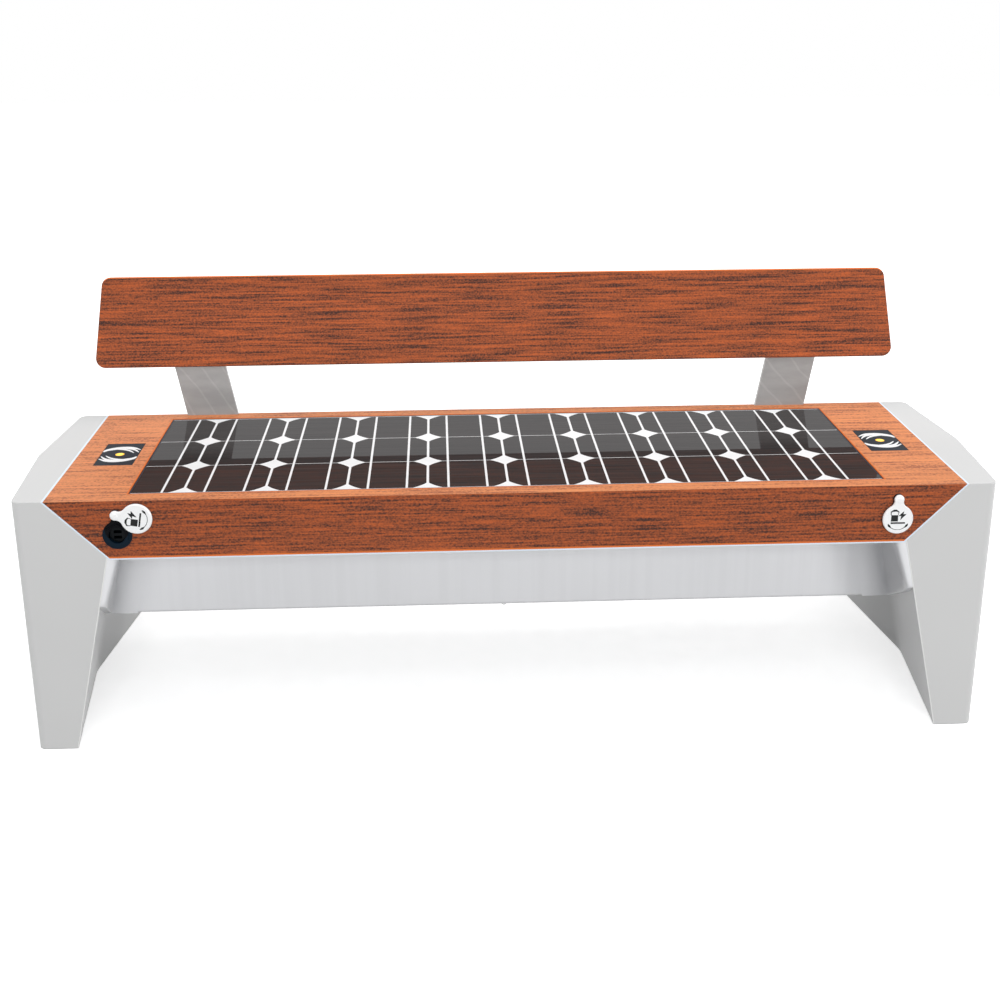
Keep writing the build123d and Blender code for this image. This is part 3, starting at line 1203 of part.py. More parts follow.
with BuildPart() as strap_bolts:
    with Locations((0, BATTERY_Y, BOX_FLOOR + STRAP_PLATE)):
        with GridLocations(1, STRAP_BOLT_SPREAD, 1, 2):
            Cylinder(STRAP_BOLT, STRAP_BOLT * 0.6, align=up)
            Cylinder(STRAP_BOLT / 2, STRAP_PLATE + BOX_WALL + STRAP_BOLT, align=down)
    with BuildSketch(Plane.XY.offset(BOX_CLEARANCE)):
        with Locations((0, BATTERY_Y)):
            with GridLocations(1, STRAP_BOLT_SPREAD, 1, 2):
                RegularPolygon(STRAP_BOLT * 0.9, 6)
    extrude(amount=-STRAP_BOLT * 0.7)
write(strap_bolts.part, "strap_bolts")

CONTROLLER_X = -(BATTERY_LENGTH + CONTROLLER_LENGTH) / 2 - DEVICE_SPACING
SUPPLY_X = (BATTERY_LENGTH + SUPPLY_LENGTH) / 2 + DEVICE_SPACING
FUSE_X = SUPPLY_X + (SUPPLY_LENGTH + FUSE_LENGTH) / 2 + DEVICE_SPACING

with BuildPart() as charge_controller:
    with Locations((CONTROLLER_X, BATTERY_Y, BOX_FLOOR)):
        Box(CONTROLLER_LENGTH, CONTROLLER_DEPTH, CONTROLLER_HEIGHT * 0.6, align=up)
        with GridLocations((CONTROLLER_LENGTH - FIN) / (FIN_COUNT - 1), 1, FIN_COUNT, 1):
            Box(FIN, CONTROLLER_DEPTH * 0.7, CONTROLLER_HEIGHT, align=up)
write(charge_controller.part, "charge_controller")

with BuildPart() as power_module:
    with Locations((SUPPLY_X, BATTERY_Y, BOX_FLOOR)):
        Box(SUPPLY_LENGTH, SUPPLY_DEPTH, SUPPLY_HEIGHT, align=up)
    chamfer(power_module.edges().filter_by(Axis.Z), BATTERY_EDGE)
    chamfer(power_module.faces().sort_by(Axis.Z)[-1].edges(), BATTERY_EDGE / 2)
write(power_module.part, "power_module")

with BuildPart() as fuse_block:
    with Locations((FUSE_X, BATTERY_Y, BOX_FLOOR)):
        Box(FUSE_LENGTH, FUSE_DEPTH, FUSE_HEIGHT, align=up)
        with GridLocations(FUSE_LENGTH / 4, 1, 3, 1):
            Box(FUSE_LENGTH / 8, FUSE_DEPTH / 2, FUSE_HEIGHT * 1.6, align=up)
    chamfer(fuse_block.faces().sort_by(Axis.Z)[0].edges().filter_by(Axis.X), FIN / 2)
write(fuse_block.part, "fuse_block")
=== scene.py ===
# %% [markdown]
# # A bench that charges phones from the sun
#
# The solid model brings every piece in its place and size. This script gives the pieces
# their finishes and adds thin pieces that the solid model leaves out or shows more simply:
# rolled sheets that close the corners beside the box, the wafers and ribbons of the solar
# panel, and the marks printed on pads and caps. Lengths are in metres, X runs along the
# bench, -Y is the side that people sit down from, +Z is up.

import json
from math import cos, pi, radians, sin, sqrt

import bpy
from mathutils import Matrix, Vector


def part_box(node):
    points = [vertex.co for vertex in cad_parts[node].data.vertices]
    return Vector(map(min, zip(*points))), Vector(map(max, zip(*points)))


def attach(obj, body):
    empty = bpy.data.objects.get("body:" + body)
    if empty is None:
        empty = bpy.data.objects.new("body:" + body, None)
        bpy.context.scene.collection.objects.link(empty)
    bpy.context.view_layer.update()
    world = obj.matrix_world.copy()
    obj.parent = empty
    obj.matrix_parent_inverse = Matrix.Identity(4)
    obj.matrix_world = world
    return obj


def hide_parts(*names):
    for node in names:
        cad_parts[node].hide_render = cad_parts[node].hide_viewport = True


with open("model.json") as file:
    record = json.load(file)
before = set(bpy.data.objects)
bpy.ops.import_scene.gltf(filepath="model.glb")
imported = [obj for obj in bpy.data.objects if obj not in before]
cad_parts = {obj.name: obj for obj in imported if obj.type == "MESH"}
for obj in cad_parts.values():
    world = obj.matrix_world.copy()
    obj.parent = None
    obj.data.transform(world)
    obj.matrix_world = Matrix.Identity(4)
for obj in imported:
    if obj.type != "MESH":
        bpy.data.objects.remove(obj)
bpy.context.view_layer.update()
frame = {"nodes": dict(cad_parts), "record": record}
nodes = frame["nodes"]


# %% [markdown]
# ## Helpers for shaders
#
# A finish could be an image that is wrapped round each piece, but that takes unwrapping
# and gets coarse close up. Here each material is a Principled surface, and its colour and
# bump come from noise that is laid out in metres. So a grain keeps its scale on every
# piece, whatever the piece's size, and stays sharp at any distance.

# %% Helpers for shaders
NOISE_ROUGHNESS = 0.55
BLEND_FROM, BLEND_TO = 0.3, 0.7


class Shader:
    """One material: a Principled surface and the nodes that feed it."""

    def __init__(self, name, colour, roughness, **sockets):
        self.material = bpy.data.materials.new(name)
        self.material.use_nodes = True
        self.tree = self.material.node_tree
        self.surface = self.tree.nodes["Principled BSDF"]
        self.set("Base Color", (*colour, 1))
        self.set("Roughness", roughness)
        for socket, value in sockets.items():
            self.set(socket.replace("_", " "), value)
        self.place = self.node("TexCoord").outputs["Object"]

    def set(self, socket, value):
        self.surface.inputs[socket].default_value = value

    def node(self, kind, inputs=None, **settings):
        made = self.tree.nodes.new("ShaderNode" + kind)
        for name, value in settings.items():
            setattr(made, name, value)
        for name, value in (inputs or {}).items():
            if isinstance(value, bpy.types.NodeSocket):
                self.tree.links.new(value, made.inputs[name])
            else:
                made.inputs[name].default_value = value
        return made

    def feed(self, socket, output):
        self.tree.links.new(output, self.surface.inputs[socket])

    def noise(self, stretch, detail=3.0):
        """Noise with so many ups and downs per metre along X, Y and Z."""
        spread = self.node("Mapping", {"Vector": self.place, "Scale": stretch})
        made = self.node(
            "TexNoise",
            {
                "Vector": spread.outputs["Vector"],
                "Scale": 1.0,
                "Detail": detail,
                "Roughness": NOISE_ROUGHNESS,
            },
        )
        return made.outputs["Factor" if "Factor" in made.outputs else "Fac"]

    def even_noise(self, scale, detail):
        return self.noise((scale, scale, scale), detail=detail)

    def ramp(self, factor, *stops):
        """Maps a factor to colours: each stop is a place from 0 to 1 and an RGB colour."""
        made = self.node("ValToRGB", {"Fac": factor})
        elements = made.color_ramp.elements
        while len(elements) < len(stops):
            elements.new(0.5)
        for element, (position, colour) in zip(elements, stops):
            element.position = position
            element.color = (*colour, 1)
        return made.outputs["Color"]

    def blend(self, factor, low, high):
        """Maps a noise to a soft change from one colour to another."""
        return self.ramp(factor, (BLEND_FROM, low), (BLEND_TO, high))

    def mix(self, first, second, factor, blend="MIX"):
        made = self.node("Mix", data_type="RGBA", blend_type=blend)
        wanted = {0: factor, 6: first, 7: second}
        for index, value in wanted.items():
            if isinstance(value, bpy.types.NodeSocket):
                self.tree.links.new(value, made.inputs[index])
            else:
                plain = value if isinstance(value, float) else (*value, 1)
                made.inputs[index].default_value = plain
        return made.outputs[2]

    def multiply(self, colour, shade):
        return self.mix(colour, shade, 1.0, "MULTIPLY")

    def math(self, operation, *values):
        """One step of arithmetic on sockets or numbers."""
        return self.node("Math", dict(enumerate(values)), operation=operation).outputs[0]

    def vector(self, operation, *values):
        """One step of arithmetic on vectors."""
        return self.node("VectorMath", dict(enumerate(values)), operation=operation).outputs[0]

    def length(self, vector):
        return self.node("VectorMath", {0: vector}, operation="LENGTH").outputs["Value"]

    def split(self, vector):
        """The X, Y and Z sockets of a vector, by name."""
        return self.node("SeparateXYZ", {"Vector": vector}).outputs

    def facing(self):
        """Which way the surface looks, as X, Y and Z sockets."""
        return self.split(self.node("NewGeometry").outputs["Normal"])

    def bump(self, height, depth, strength):
        made = self.node("Bump", {"Height": height, "Distance": depth, "Strength": strength})
        self.feed("Normal", made.outputs["Normal"])


def grey(level):
    return (level, level, level)


def scaled(colour, share):
    return [share * part for part in colour]


# %% [markdown]
# ## Wood
#
# The boards are an oiled tropical hardwood: red-brown, straight grained along the bench,
# with short dark open pores. The seat's top is a paler orange, and its grain is less
# marked, than on the boards that stand upright.
#
# Rings from a wave texture are the usual way to wood, but they give broad bands, and this
# wood shows short streaks. So two noises stretched along X give the pores, a third one
# the fibres and a slow fourth one the drift of colour over a board. Cut edges are more
# orange: round the opening for the panel, on top of the backrest and along the lower edge
# of the front and rear boards. Masks bring those in, measured from the solids.

# %% Wood
WOOD_ROUGHNESS = 0.55
UPRIGHT_COLOURS = (0.070, 0.036, 0.030), (0.315, 0.090, 0.042), (0.560, 0.133, 0.046)
UPRIGHT_STRENGTH = 0.87
UPRIGHT_GRAIN = (11.0, 300.0)
SEAT_COLOURS = (0.330, 0.115, 0.062), (0.640, 0.240, 0.106), (0.760, 0.285, 0.115)
SEAT_GRAIN = (9.0, 170.0)
ROW_WEIGHT = 0.50
BREAK_ALONG = 26.0
BREAK_ACROSS = 1.3
BODY_AT, GLOW_AT = 0.49, 0.68
FIBRE_ALONG, FIBRE_ACROSS = 3.0, 2.4
FIBRE_FROM, FIBRE_TO = 0.32, 0.68
DRIFT_STRETCH = (1.3, 11.0, 11.0)
PORE_DEPTH = 0.0003


def wood(name, grain, colours, darkest, contrast, drift):
    """The surface and its colour. Colours are those of the pores, the body and the glow."""
    pore, body, glow = colours
    along, across = grain
    made = Shader(name, body, WOOD_ROUGHNESS, Specular_IOR_Level=0.12)
    rows = made.noise((along, across, across), detail=0.0)
    break_across = BREAK_ACROSS * across
    breaks = made.noise((BREAK_ALONG * along, break_across, break_across), detail=1.0)
    joined = made.math("MULTIPLY", rows, ROW_WEIGHT)
    pores = made.math("MULTIPLY_ADD", breaks, 1 - ROW_WEIGHT, joined)
    grained = made.ramp(pores, (darkest, pore), (BODY_AT, body), (GLOW_AT, glow))
    fibre_across = FIBRE_ACROSS * across
    fibre = made.noise((FIBRE_ALONG * along, fibre_across, fibre_across), detail=1.0)
    dull, bright = grey(1 - contrast), grey(1 + contrast)
    strands = made.ramp(fibre, (FIBRE_FROM, dull), (FIBRE_TO, bright))
    slow = made.noise(DRIFT_STRETCH, detail=2.0)
    tone = made.blend(slow, grey(1 - drift), grey(1 + drift))
    made.bump(pores, PORE_DEPTH, 0.3)
    return made, made.multiply(made.multiply(grained, strands), tone)


# %% Cut edges of the wood
EDGE_COLOUR = (0.70, 0.175, 0.045)
EDGE_BAND = 0.0035
LOWER_BAND = 0.0030
LOOKS_UP = 0.6


frame_low, frame_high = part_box("solar_frame")
LOWER_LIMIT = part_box("front_apron")[0].z + LOWER_BAND
print("panel", [round(side, 3) for side in frame_high - frame_low], "m")


def panel_edge(made, colour):
    """The colour, with a more orange band all round the solar panel."""
    middle = (frame_low + frame_high) / 2
    apart = made.vector("ABSOLUTE", made.vector("SUBTRACT", made.place, middle))
    beyond = made.split(made.vector("SUBTRACT", apart, frame_high - middle))
    out = made.math("MAXIMUM", beyond["X"], beyond["Y"])
    return made.mix(colour, EDGE_COLOUR, made.math("LESS_THAN", out, EDGE_BAND))


def cut_edges(made, colour):
    """The colour, more orange on faces that look up and along the boards' lower edge."""
    upward = made.math("GREATER_THAN", made.facing()["Z"], LOOKS_UP)
    lower = made.math("LESS_THAN", made.split(made.place)["Z"], LOWER_LIMIT)
    return made.mix(colour, EDGE_COLOUR, made.math("MAXIMUM", upward, lower))


def upright_wood():
    colours = [scaled(colour, UPRIGHT_STRENGTH) for colour in UPRIGHT_COLOURS]
    made, colour = wood("oiled hardwood", UPRIGHT_GRAIN, colours, 0.33, 0.08, 0.05)
    made.feed("Base Color", cut_edges(made, colour))
    return made.material


def seat_wood():
    made, colour = wood("pale hardwood", SEAT_GRAIN, SEAT_COLOURS, 0.31, 0.04, 0.04)
    made.feed("Base Color", panel_edge(made, colour))
    return made.material


# %% [markdown]
# ## Powder coat
#
# The legs and the box are folded sheet with a pale powder coat, which has a fine
# orange-peel skin. A sheet can't be folded to a sharp edge. Its folds could be rounded in
# the mesh, but the Bevel node rounds the shading alone and moves no point, so the piece
# stays true to its solid. The box has faint upright marks. Along the inner front edge of
# each leg runs a paler line, which is a painted highlight where that edge catches the
# light. The line is found from the leg's own points, so it follows the leg.

# %% Powder coat
COAT_WHITE = (0.85, 0.855, 0.875)
COAT_GREY = (0.64, 0.642, 0.64)
EDGE_SOFTNESS = 0.0025
CLOUD_SHADE = 0.97
PEEL_SCALE = 900.0
PEEL_DEPTH = 0.00008
MARK_STRETCH = (70.0, 70.0, 1.5)
MARK_SHADE = 0.975
# Colour and width of the painted highlight along each leg's inner front edge.
EDGE_HIGHLIGHT_COLOUR = (0.86, 0.86, 0.85)
EDGE_HIGHLIGHT_WIDTH = 0.0018
LOOKS_AHEAD = -0.5
NEAR = 0.0001


def inner_edge():
    """The lowest and highest point of the right leg's inner front edge."""
    leg = nodes["right_leg"].data.vertices
    front = min(point.co.y for point in leg)
    ahead = [point.co for point in leg if point.co.y < front + NEAR]
    inmost = min(ahead, key=lambda point: point.x)
    return min(ahead, key=lambda point: (round(point.z, 3), point.x)), inmost


edge_foot, edge_head = inner_edge()
EDGE_LEAN = (edge_foot.x - edge_head.x) / (edge_head.z - edge_foot.z)
# Where the painted highlight along the inner front edge ends, measured at the floor.
EDGE_HIGHLIGHT_TO = edge_head.x + EDGE_LEAN * edge_head.z + EDGE_HIGHLIGHT_WIDTH
print("the leg's inner front edge leans", round(EDGE_LEAN, 4))


def coat(name, colour, roughness=0.30, softness=EDGE_SOFTNESS, change=None):
    """A powder coat; change is a function that adds marks or a painted highlight to its colour.
    """
    made = Shader(
        name, colour, roughness, Specular_IOR_Level=0.3, Coat_Weight=0.08, Coat_Roughness=0.16
    )
    cloud = made.even_noise(3.0, 2.0)
    shade = made.blend(cloud, scaled(colour, CLOUD_SHADE), colour)
    made.feed("Base Color", change(made, shade) if change else shade)
    made.bump(made.even_noise(PEEL_SCALE, 1.0), PEEL_DEPTH, 0.25)
    if softness:
        soft = made.node("Bevel", {"Radius": softness}, samples=6)
        skin = made.surface.inputs["Normal"].links[0].from_node
        made.tree.links.new(soft.outputs["Normal"], skin.inputs["Normal"])
    return made.material


def drawn_marks(made, shade):
    """Faint upright marks all along the box."""
    drawn = made.noise(MARK_STRETCH, detail=2.0)
    return made.multiply(shade, made.ramp(drawn, (0.35, grey(MARK_SHADE)), (0.6, grey(1))))


def painted_edge_highlight(made, shade):
    """A paler line along the inner front edge of each leg: a painted highlight."""
    place = made.split(made.place)
    out = made.math("ABSOLUTE", place["X"])
    lean = made.math("MULTIPLY_ADD", place["Z"], EDGE_LEAN, out)
    edge = made.math("LESS_THAN", lean, EDGE_HIGHLIGHT_TO)
    front = made.math("LESS_THAN", made.facing()["Y"], LOOKS_AHEAD)
    return made.mix(shade, EDGE_HIGHLIGHT_COLOUR, made.math("MULTIPLY", edge, front))


# %% [markdown]
# ## Bare metal
#
# The two backrest bars are bare satin steel with faint slanting scratches, and the other
# bare metal has fine level rolling marks. Scratches could be cut into the mesh, but they
# are far finer than any edge of it, so a turned wave texture draws them in the colour and
# a stretched noise brings the marks into colour and bump.

# %% Bare metal
ROLLING_STRETCH = (60.0, 60.0, 900.0)
ROLLING_SHADE = 0.88
ROLLING_DEPTH = 0.0001
SCRATCH_TILT = radians(38)
SCRATCH_WAVE = {"Scale": 9.0, "Distortion": 3.0, "Detail": 2.0}
SCRATCH_SHINE = 1.12
SCRATCH_FROM, SCRATCH_TO = 0.955, 0.995
TONE_STRETCH = (14.0, 14.0, 40.0)
TONE_SHADES = (0.88, 1.06)


def metal(name, colour, roughness):
    made = Shader(name, colour, roughness, Metallic=1.0)
    marks = made.noise(ROLLING_STRETCH)
    made.feed("Base Color", made.blend(marks, scaled(colour, ROLLING_SHADE), colour))
    made.bump(marks, ROLLING_DEPTH, 0.2)
    return made.material


def scratched_bar(name, colour, roughness):
    """Satin steel with faint slanting scratches."""
    made = Shader(name, colour, roughness, Metallic=1.0)
    turned = made.node("Mapping", {"Vector": made.place, "Rotation": (0.0, SCRATCH_TILT, 0.0)})
    laid_out = {"Vector": turned.outputs["Vector"], **SCRATCH_WAVE}
    wave = made.node("TexWave", laid_out, bands_direction="X").outputs["Color"]
    shine = scaled(colour, SCRATCH_SHINE)
    scratch = made.ramp(wave, (SCRATCH_FROM, colour), (SCRATCH_TO, shine))
    dull, bright = TONE_SHADES
    tone = made.blend(made.noise(TONE_STRETCH), grey(dull), grey(bright))
    made.feed("Base Color", made.multiply(scratch, tone))
    made.bump(made.noise(ROLLING_STRETCH, detail=2.0), ROLLING_DEPTH, 0.25)
    return made.material


# %% [markdown]
# ## Plastic, rubber and ink
#
# A moulded part takes a fine grit from its mould, so it is never quite even. A very fine
# noise gives that in colour and in bump. Plastics, rubber and ink differ in little more
# than colour and roughness, which is why one function makes them all, and also the
# anodised frame of the panel and the floor.

# %% Plastic, rubber and ink
GRIT_SCALE = 1400.0
GRIT_SHADE = 0.9
GRIT_DEPTH = 0.00004


def plastic(name, colour, roughness, grain=GRIT_SCALE, **sockets):
    made = Shader(name, colour, roughness, **sockets)
    grit = made.even_noise(grain, 2.0)
    made.feed("Base Color", made.blend(grit, scaled(colour, GRIT_SHADE), colour))
    made.bump(grit, GRIT_DEPTH, 0.3)
    return made.material


# %% [markdown]
# ## Amber windows and socket rings
#
# Each charging pad has a small amber window with a light below it, and each socket a
# black moulded ring with a navy rim. Both are round, and their colour depends only on the
# distance from their middle. They could be cut into rings with a material each; here the
# middle is measured from the solids and one colour ramp runs outward from it, which keeps
# each of them a single piece. A little emission makes the windows look lit by day.

# %% Amber windows and socket rings
WINDOW_STOPS = (
    (0.45, (1.0, 0.80, 0.08)),
    (0.72, (1.0, 0.60, 0.02)),
    (0.84, (0.75, 0.25, 0.01)),
    (0.90, (0.006, 0.008, 0.030)),
)
WINDOW_GLOW = 0.45
BEZEL_RIM = 0.84
BEZEL_STOPS = ((BEZEL_RIM - 0.05, (0.001, 0.001, 0.002)), (BEZEL_RIM, (0.004, 0.012, 0.022)))


def indicator(name):
    """A lit amber window: yellow in the middle, orange at its rim, in a dark collar."""
    made = Shader(name, (0.9, 0.5, 0.02), 0.25)
    low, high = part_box("pad_leds")
    radius = (high.y - low.y) / 2
    middle = (high.x - radius, abs(low.y + high.y) / 2, 0)
    apart = made.vector("SUBTRACT", made.vector("ABSOLUTE", made.place), middle)
    away = made.length(made.vector("MULTIPLY", apart, (1, 1, 0)))
    glow = made.ramp(made.math("DIVIDE", away, radius), *WINDOW_STOPS)
    made.feed("Base Color", glow)
    made.feed("Emission Color", glow)
    made.set("Emission Strength", WINDOW_GLOW)
    made.bump(made.even_noise(500.0, 1.0), 0.00005, 0.3)
    return made.material


def bezel(name, node):
    """A black moulded ring with a navy rim."""
    made = Shader(name, (0.003, 0.008, 0.016), 0.3, Specular_IOR_Level=0.06)
    low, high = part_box(node)
    apart = made.vector("SUBTRACT", made.place, (low + high) / 2)
    away = made.length(made.vector("MULTIPLY", apart, (1, 0, 1)))
    spread = made.math("DIVIDE", away, (high.x - low.x) / 2)
    made.feed("Base Color", made.ramp(spread, *BEZEL_STOPS))
    made.bump(made.even_noise(PEEL_SCALE, 1.0), GRIT_DEPTH, 0.3)
    return made.material


# %% [markdown]
# ## Under the panel's glass
#
# The solar cells lie below clear glass. Real glass over them would make every ray pass
# two more surfaces, which is slow to render and grainy in the shadows. So whatever lies
# under the glass is one surface with its own colour and a clear coat over it. Fine paler
# lines along the bench stand for the metal fingers that are printed on each cell.

# %% Under the panel's glass
UNDER_ROUGHNESS = 0.6
GLASS_COAT = {"Coat_Weight": 0.48, "Coat_Roughness": 0.015, "Coat_IOR": 1.4}
THREAD_GAIN, THREAD_LIFT = 1.6, 0.004


def under_glass(name, colour, lines=None):
    """Something laid under the panel's glass; lines is the stretch of its fine lines."""
    made = Shader(name, colour, UNDER_ROUGHNESS, Specular_IOR_Level=0.0, **GLASS_COAT)
    if lines:
        threads = made.noise(lines, detail=1.0)
        bright = [THREAD_GAIN * part + THREAD_LIFT for part in colour]
        shade = made.ramp(threads, (0.35, colour), (0.7, bright))
    else:
        shade = made.blend(made.even_noise(40.0, 1.0), scaled(colour, 0.95), colour)
    made.feed("Base Color", shade)
    return made.material


# %% [markdown]
# ## A finish for every piece
#
# Each solid names the slot of its material. One table holds the finish of each slot,
# instead of a line per piece, so like parts can't differ by mistake. The seat's top and
# the two socket rings get a finish of their own after that.

# %% A finish for every piece
finishes = {
    "wood": upright_wood(),
    # The legs' coat gets a painted highlight along each inner front edge.
    "coat": coat("pale powder coat", COAT_GREY, change=painted_edge_highlight),
    "box_coat": coat("box powder coat", COAT_WHITE, 0.24, change=drawn_marks),
    "trim": plastic("pale edge trim", (0.78, 0.87, 0.97), 0.3),
    "support_steel": scratched_bar("satin bar", (0.41, 0.40, 0.395), 0.42),
    "zinc_steel": metal("zinc plated steel", (0.50, 0.51, 0.53), 0.5),
    "fastener": metal("stainless fastener", (0.62, 0.62, 0.62), 0.3),
    "module_frame": plastic(
        "black anodised frame", (0.010, 0.022, 0.040), 0.4, Specular_IOR_Level=0.2
    ),
    "panel_glass": under_glass("white sheet under glass", (0.92, 0.93, 0.94)),
    "cell": under_glass("wafer under glass", (0.031, 0.028, 0.028), (4.0, 900.0, 4.0)),
    "white_sheet": plastic("white back sheet", grey(0.75), 0.6),
    "black_plastic": plastic("black nylon", (0.003, 0.004, 0.005), 0.4, Specular_IOR_Level=0.08),
    "pad_face": plastic("black pad face", (0.010, 0.016, 0.024), 0.35, Specular_IOR_Level=0.05),
    "indicator": indicator("amber window"),
    "gasket_rubber": plastic("black rubber", (0.012, 0.012, 0.012), 0.7),
    "cap_plastic": plastic("white cap", (0.97, 0.975, 0.98), 0.28),
    "copper": metal("coil copper", (0.72, 0.33, 0.18), 0.35),
    "lock_metal": metal("plated lock", (0.70, 0.70, 0.71), 0.22),
    "battery_case": plastic("battery case", (0.020, 0.024, 0.032), 0.5),
    "device_metal": metal("device housing", (0.20, 0.21, 0.23), 0.45),
    "device_plastic": plastic("device case", (0.025, 0.025, 0.028), 0.5),
}
slot_of = {part["node"]: part["material_slot"] for part in frame["record"]["subparts"]}
for name, piece in nodes.items():
    piece.data.materials.clear()
    piece.data.materials.append(finishes[slot_of[name]])
nodes["seat_top_board"].data.materials[0] = seat_wood()
for side in ("left", "right"):
    ring = side + "_port_bezel"
    nodes[ring].data.materials[0] = bezel("navy bezel " + side, ring)
print(len(finishes), "finishes on", len(slot_of), "pieces")


# %% [markdown]
# ## Helpers for thin pieces
#
# Wafers, ribbons and printed marks are flat: each is an outline between two heights. They
# could be planes pushed out by a Solidify modifier; writing the closed prism down at once
# needs no modifier and gives the exact height. Each piece rides on a body of the frame,
# and so moves when that body moves.

# %% Helpers for thin pieces
def add_piece(name, points, faces, material, body):
    """A mesh piece that rides on a body of the frame."""
    mesh = bpy.data.meshes.new(name)
    mesh.from_pydata(points, [], faces)
    mesh.update()
    piece = bpy.data.objects.new(name, mesh)
    bpy.context.scene.collection.objects.link(piece)
    mesh.materials.append(material)
    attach(piece, body)
    return piece


def prisms(outlines, place, low, high):
    """Points and faces of one prism per outline; place turns (u, v, w) into a point."""
    points, faces = [], []
    for outline in outlines:
        first, count = len(points), len(outline)
        points += [place(u, v, low) for u, v in outline]
        points += [place(u, v, high) for u, v in outline]
        faces.append([first + index for index in reversed(range(count))])
        faces.append([first + count + index for index in range(count)])
        for index in range(count):
            here, after = first + index, first + (index + 1) % count
            faces.append([here, after, after + count, here + count])
    return points, faces


def rectangle(middle, size):
    (u, v), (width, height) = middle, size
    return [
        (u + side * width / 2, v + end * height / 2)
        for side, end in ((-1, -1), (1, -1), (1, 1), (-1, 1))
    ]


def flat(u, v, w):
    return (u, v, w)


# %% [markdown]
# ## Cove sheets
#
# Where the box meets a leg, a rolled sheet hides the corner. It leaves the box's front in a
# hollow curve, runs forward in front of the leg's inner face and turns out again to end on
# the leg's front edge. Its lower edge climbs toward the front.
#
# It could be a plane that modifiers bend. Here the curve is drawn in plan and laid level
# upon level, because both of its ends have to meet other pieces at every height. Each
# level leans with the leg, and the last turn grows tighter toward the lower edge, where a
# narrow return closes the gap to the leg.

# %% Cove curve in plan
COVE_START = 0.058
COVE_TURN = 0.045
COVE_AHEAD = 0.0002
CORNER_PULL = 0.6
HOLLOW_PULL = 0.5
FLARE_PULL = 0.9
CURVE_STEPS = 12


def bezier(points, share):
    """A point on the curve that a row of handles gives."""
    while len(points) > 1:
        points = [first.lerp(second, share) for first, second in zip(points, points[1:])]
    return points[0]


def cove_curve(off_leg):
    """The right cove in plan: it starts on the box's front and ends on the leg's edge."""
    box_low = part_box("battery_box")[0]
    edge = Vector((edge_head.x, edge_head.y + COVE_AHEAD))
    corner_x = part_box("box_coves")[1].x - EDGE_LEAN * (edge_head.z - box_low.z)
    corner = Vector((corner_x, box_low.y))
    forward = (edge - corner).normalized()
    inward = Vector((-1.0, 0.0))
    off = inward * off_leg
    turn = forward * COVE_TURN
    behind = corner + off + turn
    ahead = edge + off - turn
    start = corner + inward * COVE_START
    hollow = [start, start.lerp(corner, CORNER_PULL), behind - turn * HOLLOW_PULL, behind]
    flare = [ahead, ahead + turn * FLARE_PULL, edge + off * FLARE_PULL, edge]
    shares = [step / CURVE_STEPS for step in range(CURVE_STEPS + 1)]
    return [bezier(points, share) for points in (hollow, flare) for share in shares]


# %% Cove levels
COVE_OFF_LEG = 0.021
COVE_OFF_LOW = 0.012
COVE_RETURN = 0.0006
COVE_CLIMB = 0.135
COVE_TURN_CLIMB = 0.007
COVE_BACK = 0.3
LEVELS = 10
print("the cove reaches", round(cove_curve(COVE_OFF_LEG)[0].y - edge_head.y, 3), "m forward")


def cove_points(side, inset):
    """Rows of points from the upper edge down, moved back by the sheet's thickness."""
    top, box_foot = edge_head.z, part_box("battery_box")[0].z
    tight = cove_curve(COVE_OFF_LOW)
    reach = tight[0].y - tight[-1].y
    lowest = box_foot + COVE_CLIMB + COVE_TURN_CLIMB
    points = []
    for level in range(LEVELS + 2):
        for step, place in enumerate(tight):
            turned = max((step - 1) / CURVE_STEPS - 1, 0.0)
            forward = (tight[0].y - place.y) / reach
            foot = box_foot + COVE_CLIMB * forward + COVE_TURN_CLIMB * turned
            z = top - (top - foot) * min(level / LEVELS, 1.0)
            sunk = min((top - z) / (top - lowest), 1.0)
            off_leg = COVE_OFF_LEG + (COVE_OFF_LOW - COVE_OFF_LEG) * sunk
            off_leg = COVE_RETURN if level > LEVELS else off_leg
            x, y = cove_curve(off_leg)[step]
            x += EDGE_LEAN * (top - z) + inset
            points.append((side * x, y + inset * COVE_BACK, z))
    return points


# %% Cove sheets
COVE_SHEET = 0.0015
FOLD_ANGLE = radians(40)


def cove_sheets():
    """Both sheets: an outer and an inner skin, closed all round their edges."""
    points, faces = [], []
    row = 2 * (CURVE_STEPS + 1)
    skin = row * (LEVELS + 2)
    for side in (-1, 1):
        first = len(points)
        points += cove_points(side, 0.0) + cove_points(side, COVE_SHEET)
        for level in range(LEVELS + 1):
            for step in range(row - 1):
                here = first + level * row + step
                quad = [here, here + 1, here + row + 1, here + row]
                back = [skin + index for index in reversed(quad)]
                faces += [quad, back] if side > 0 else [quad[::-1], back[::-1]]
        rim = [first + step for step in range(row)]
        rim += [first + level * row + row - 1 for level in range(1, LEVELS + 2)]
        rim += [first + (LEVELS + 1) * row + step for step in reversed(range(row - 1))]
        rim += [first + level * row for level in reversed(range(1, LEVELS + 1))]
        for here, after in zip(rim, rim[1:] + rim[:1]):
            quad = [after, here, here + skin, after + skin]
            faces.append(quad if side > 0 else quad[::-1])
    return points, faces


sheet_coat = coat("cove powder coat", COAT_WHITE, 0.24, 0)
cove_sheet = add_piece("cove_sheets", *cove_sheets(), sheet_coat, "bench")
cove_sheet.data.shade_smooth()
cove_sheet.data.set_sharp_from_angle(angle=FOLD_ANGLE)
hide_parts("box_coves")
print(len(cove_sheet.data.polygons), "faces in the cove sheets")

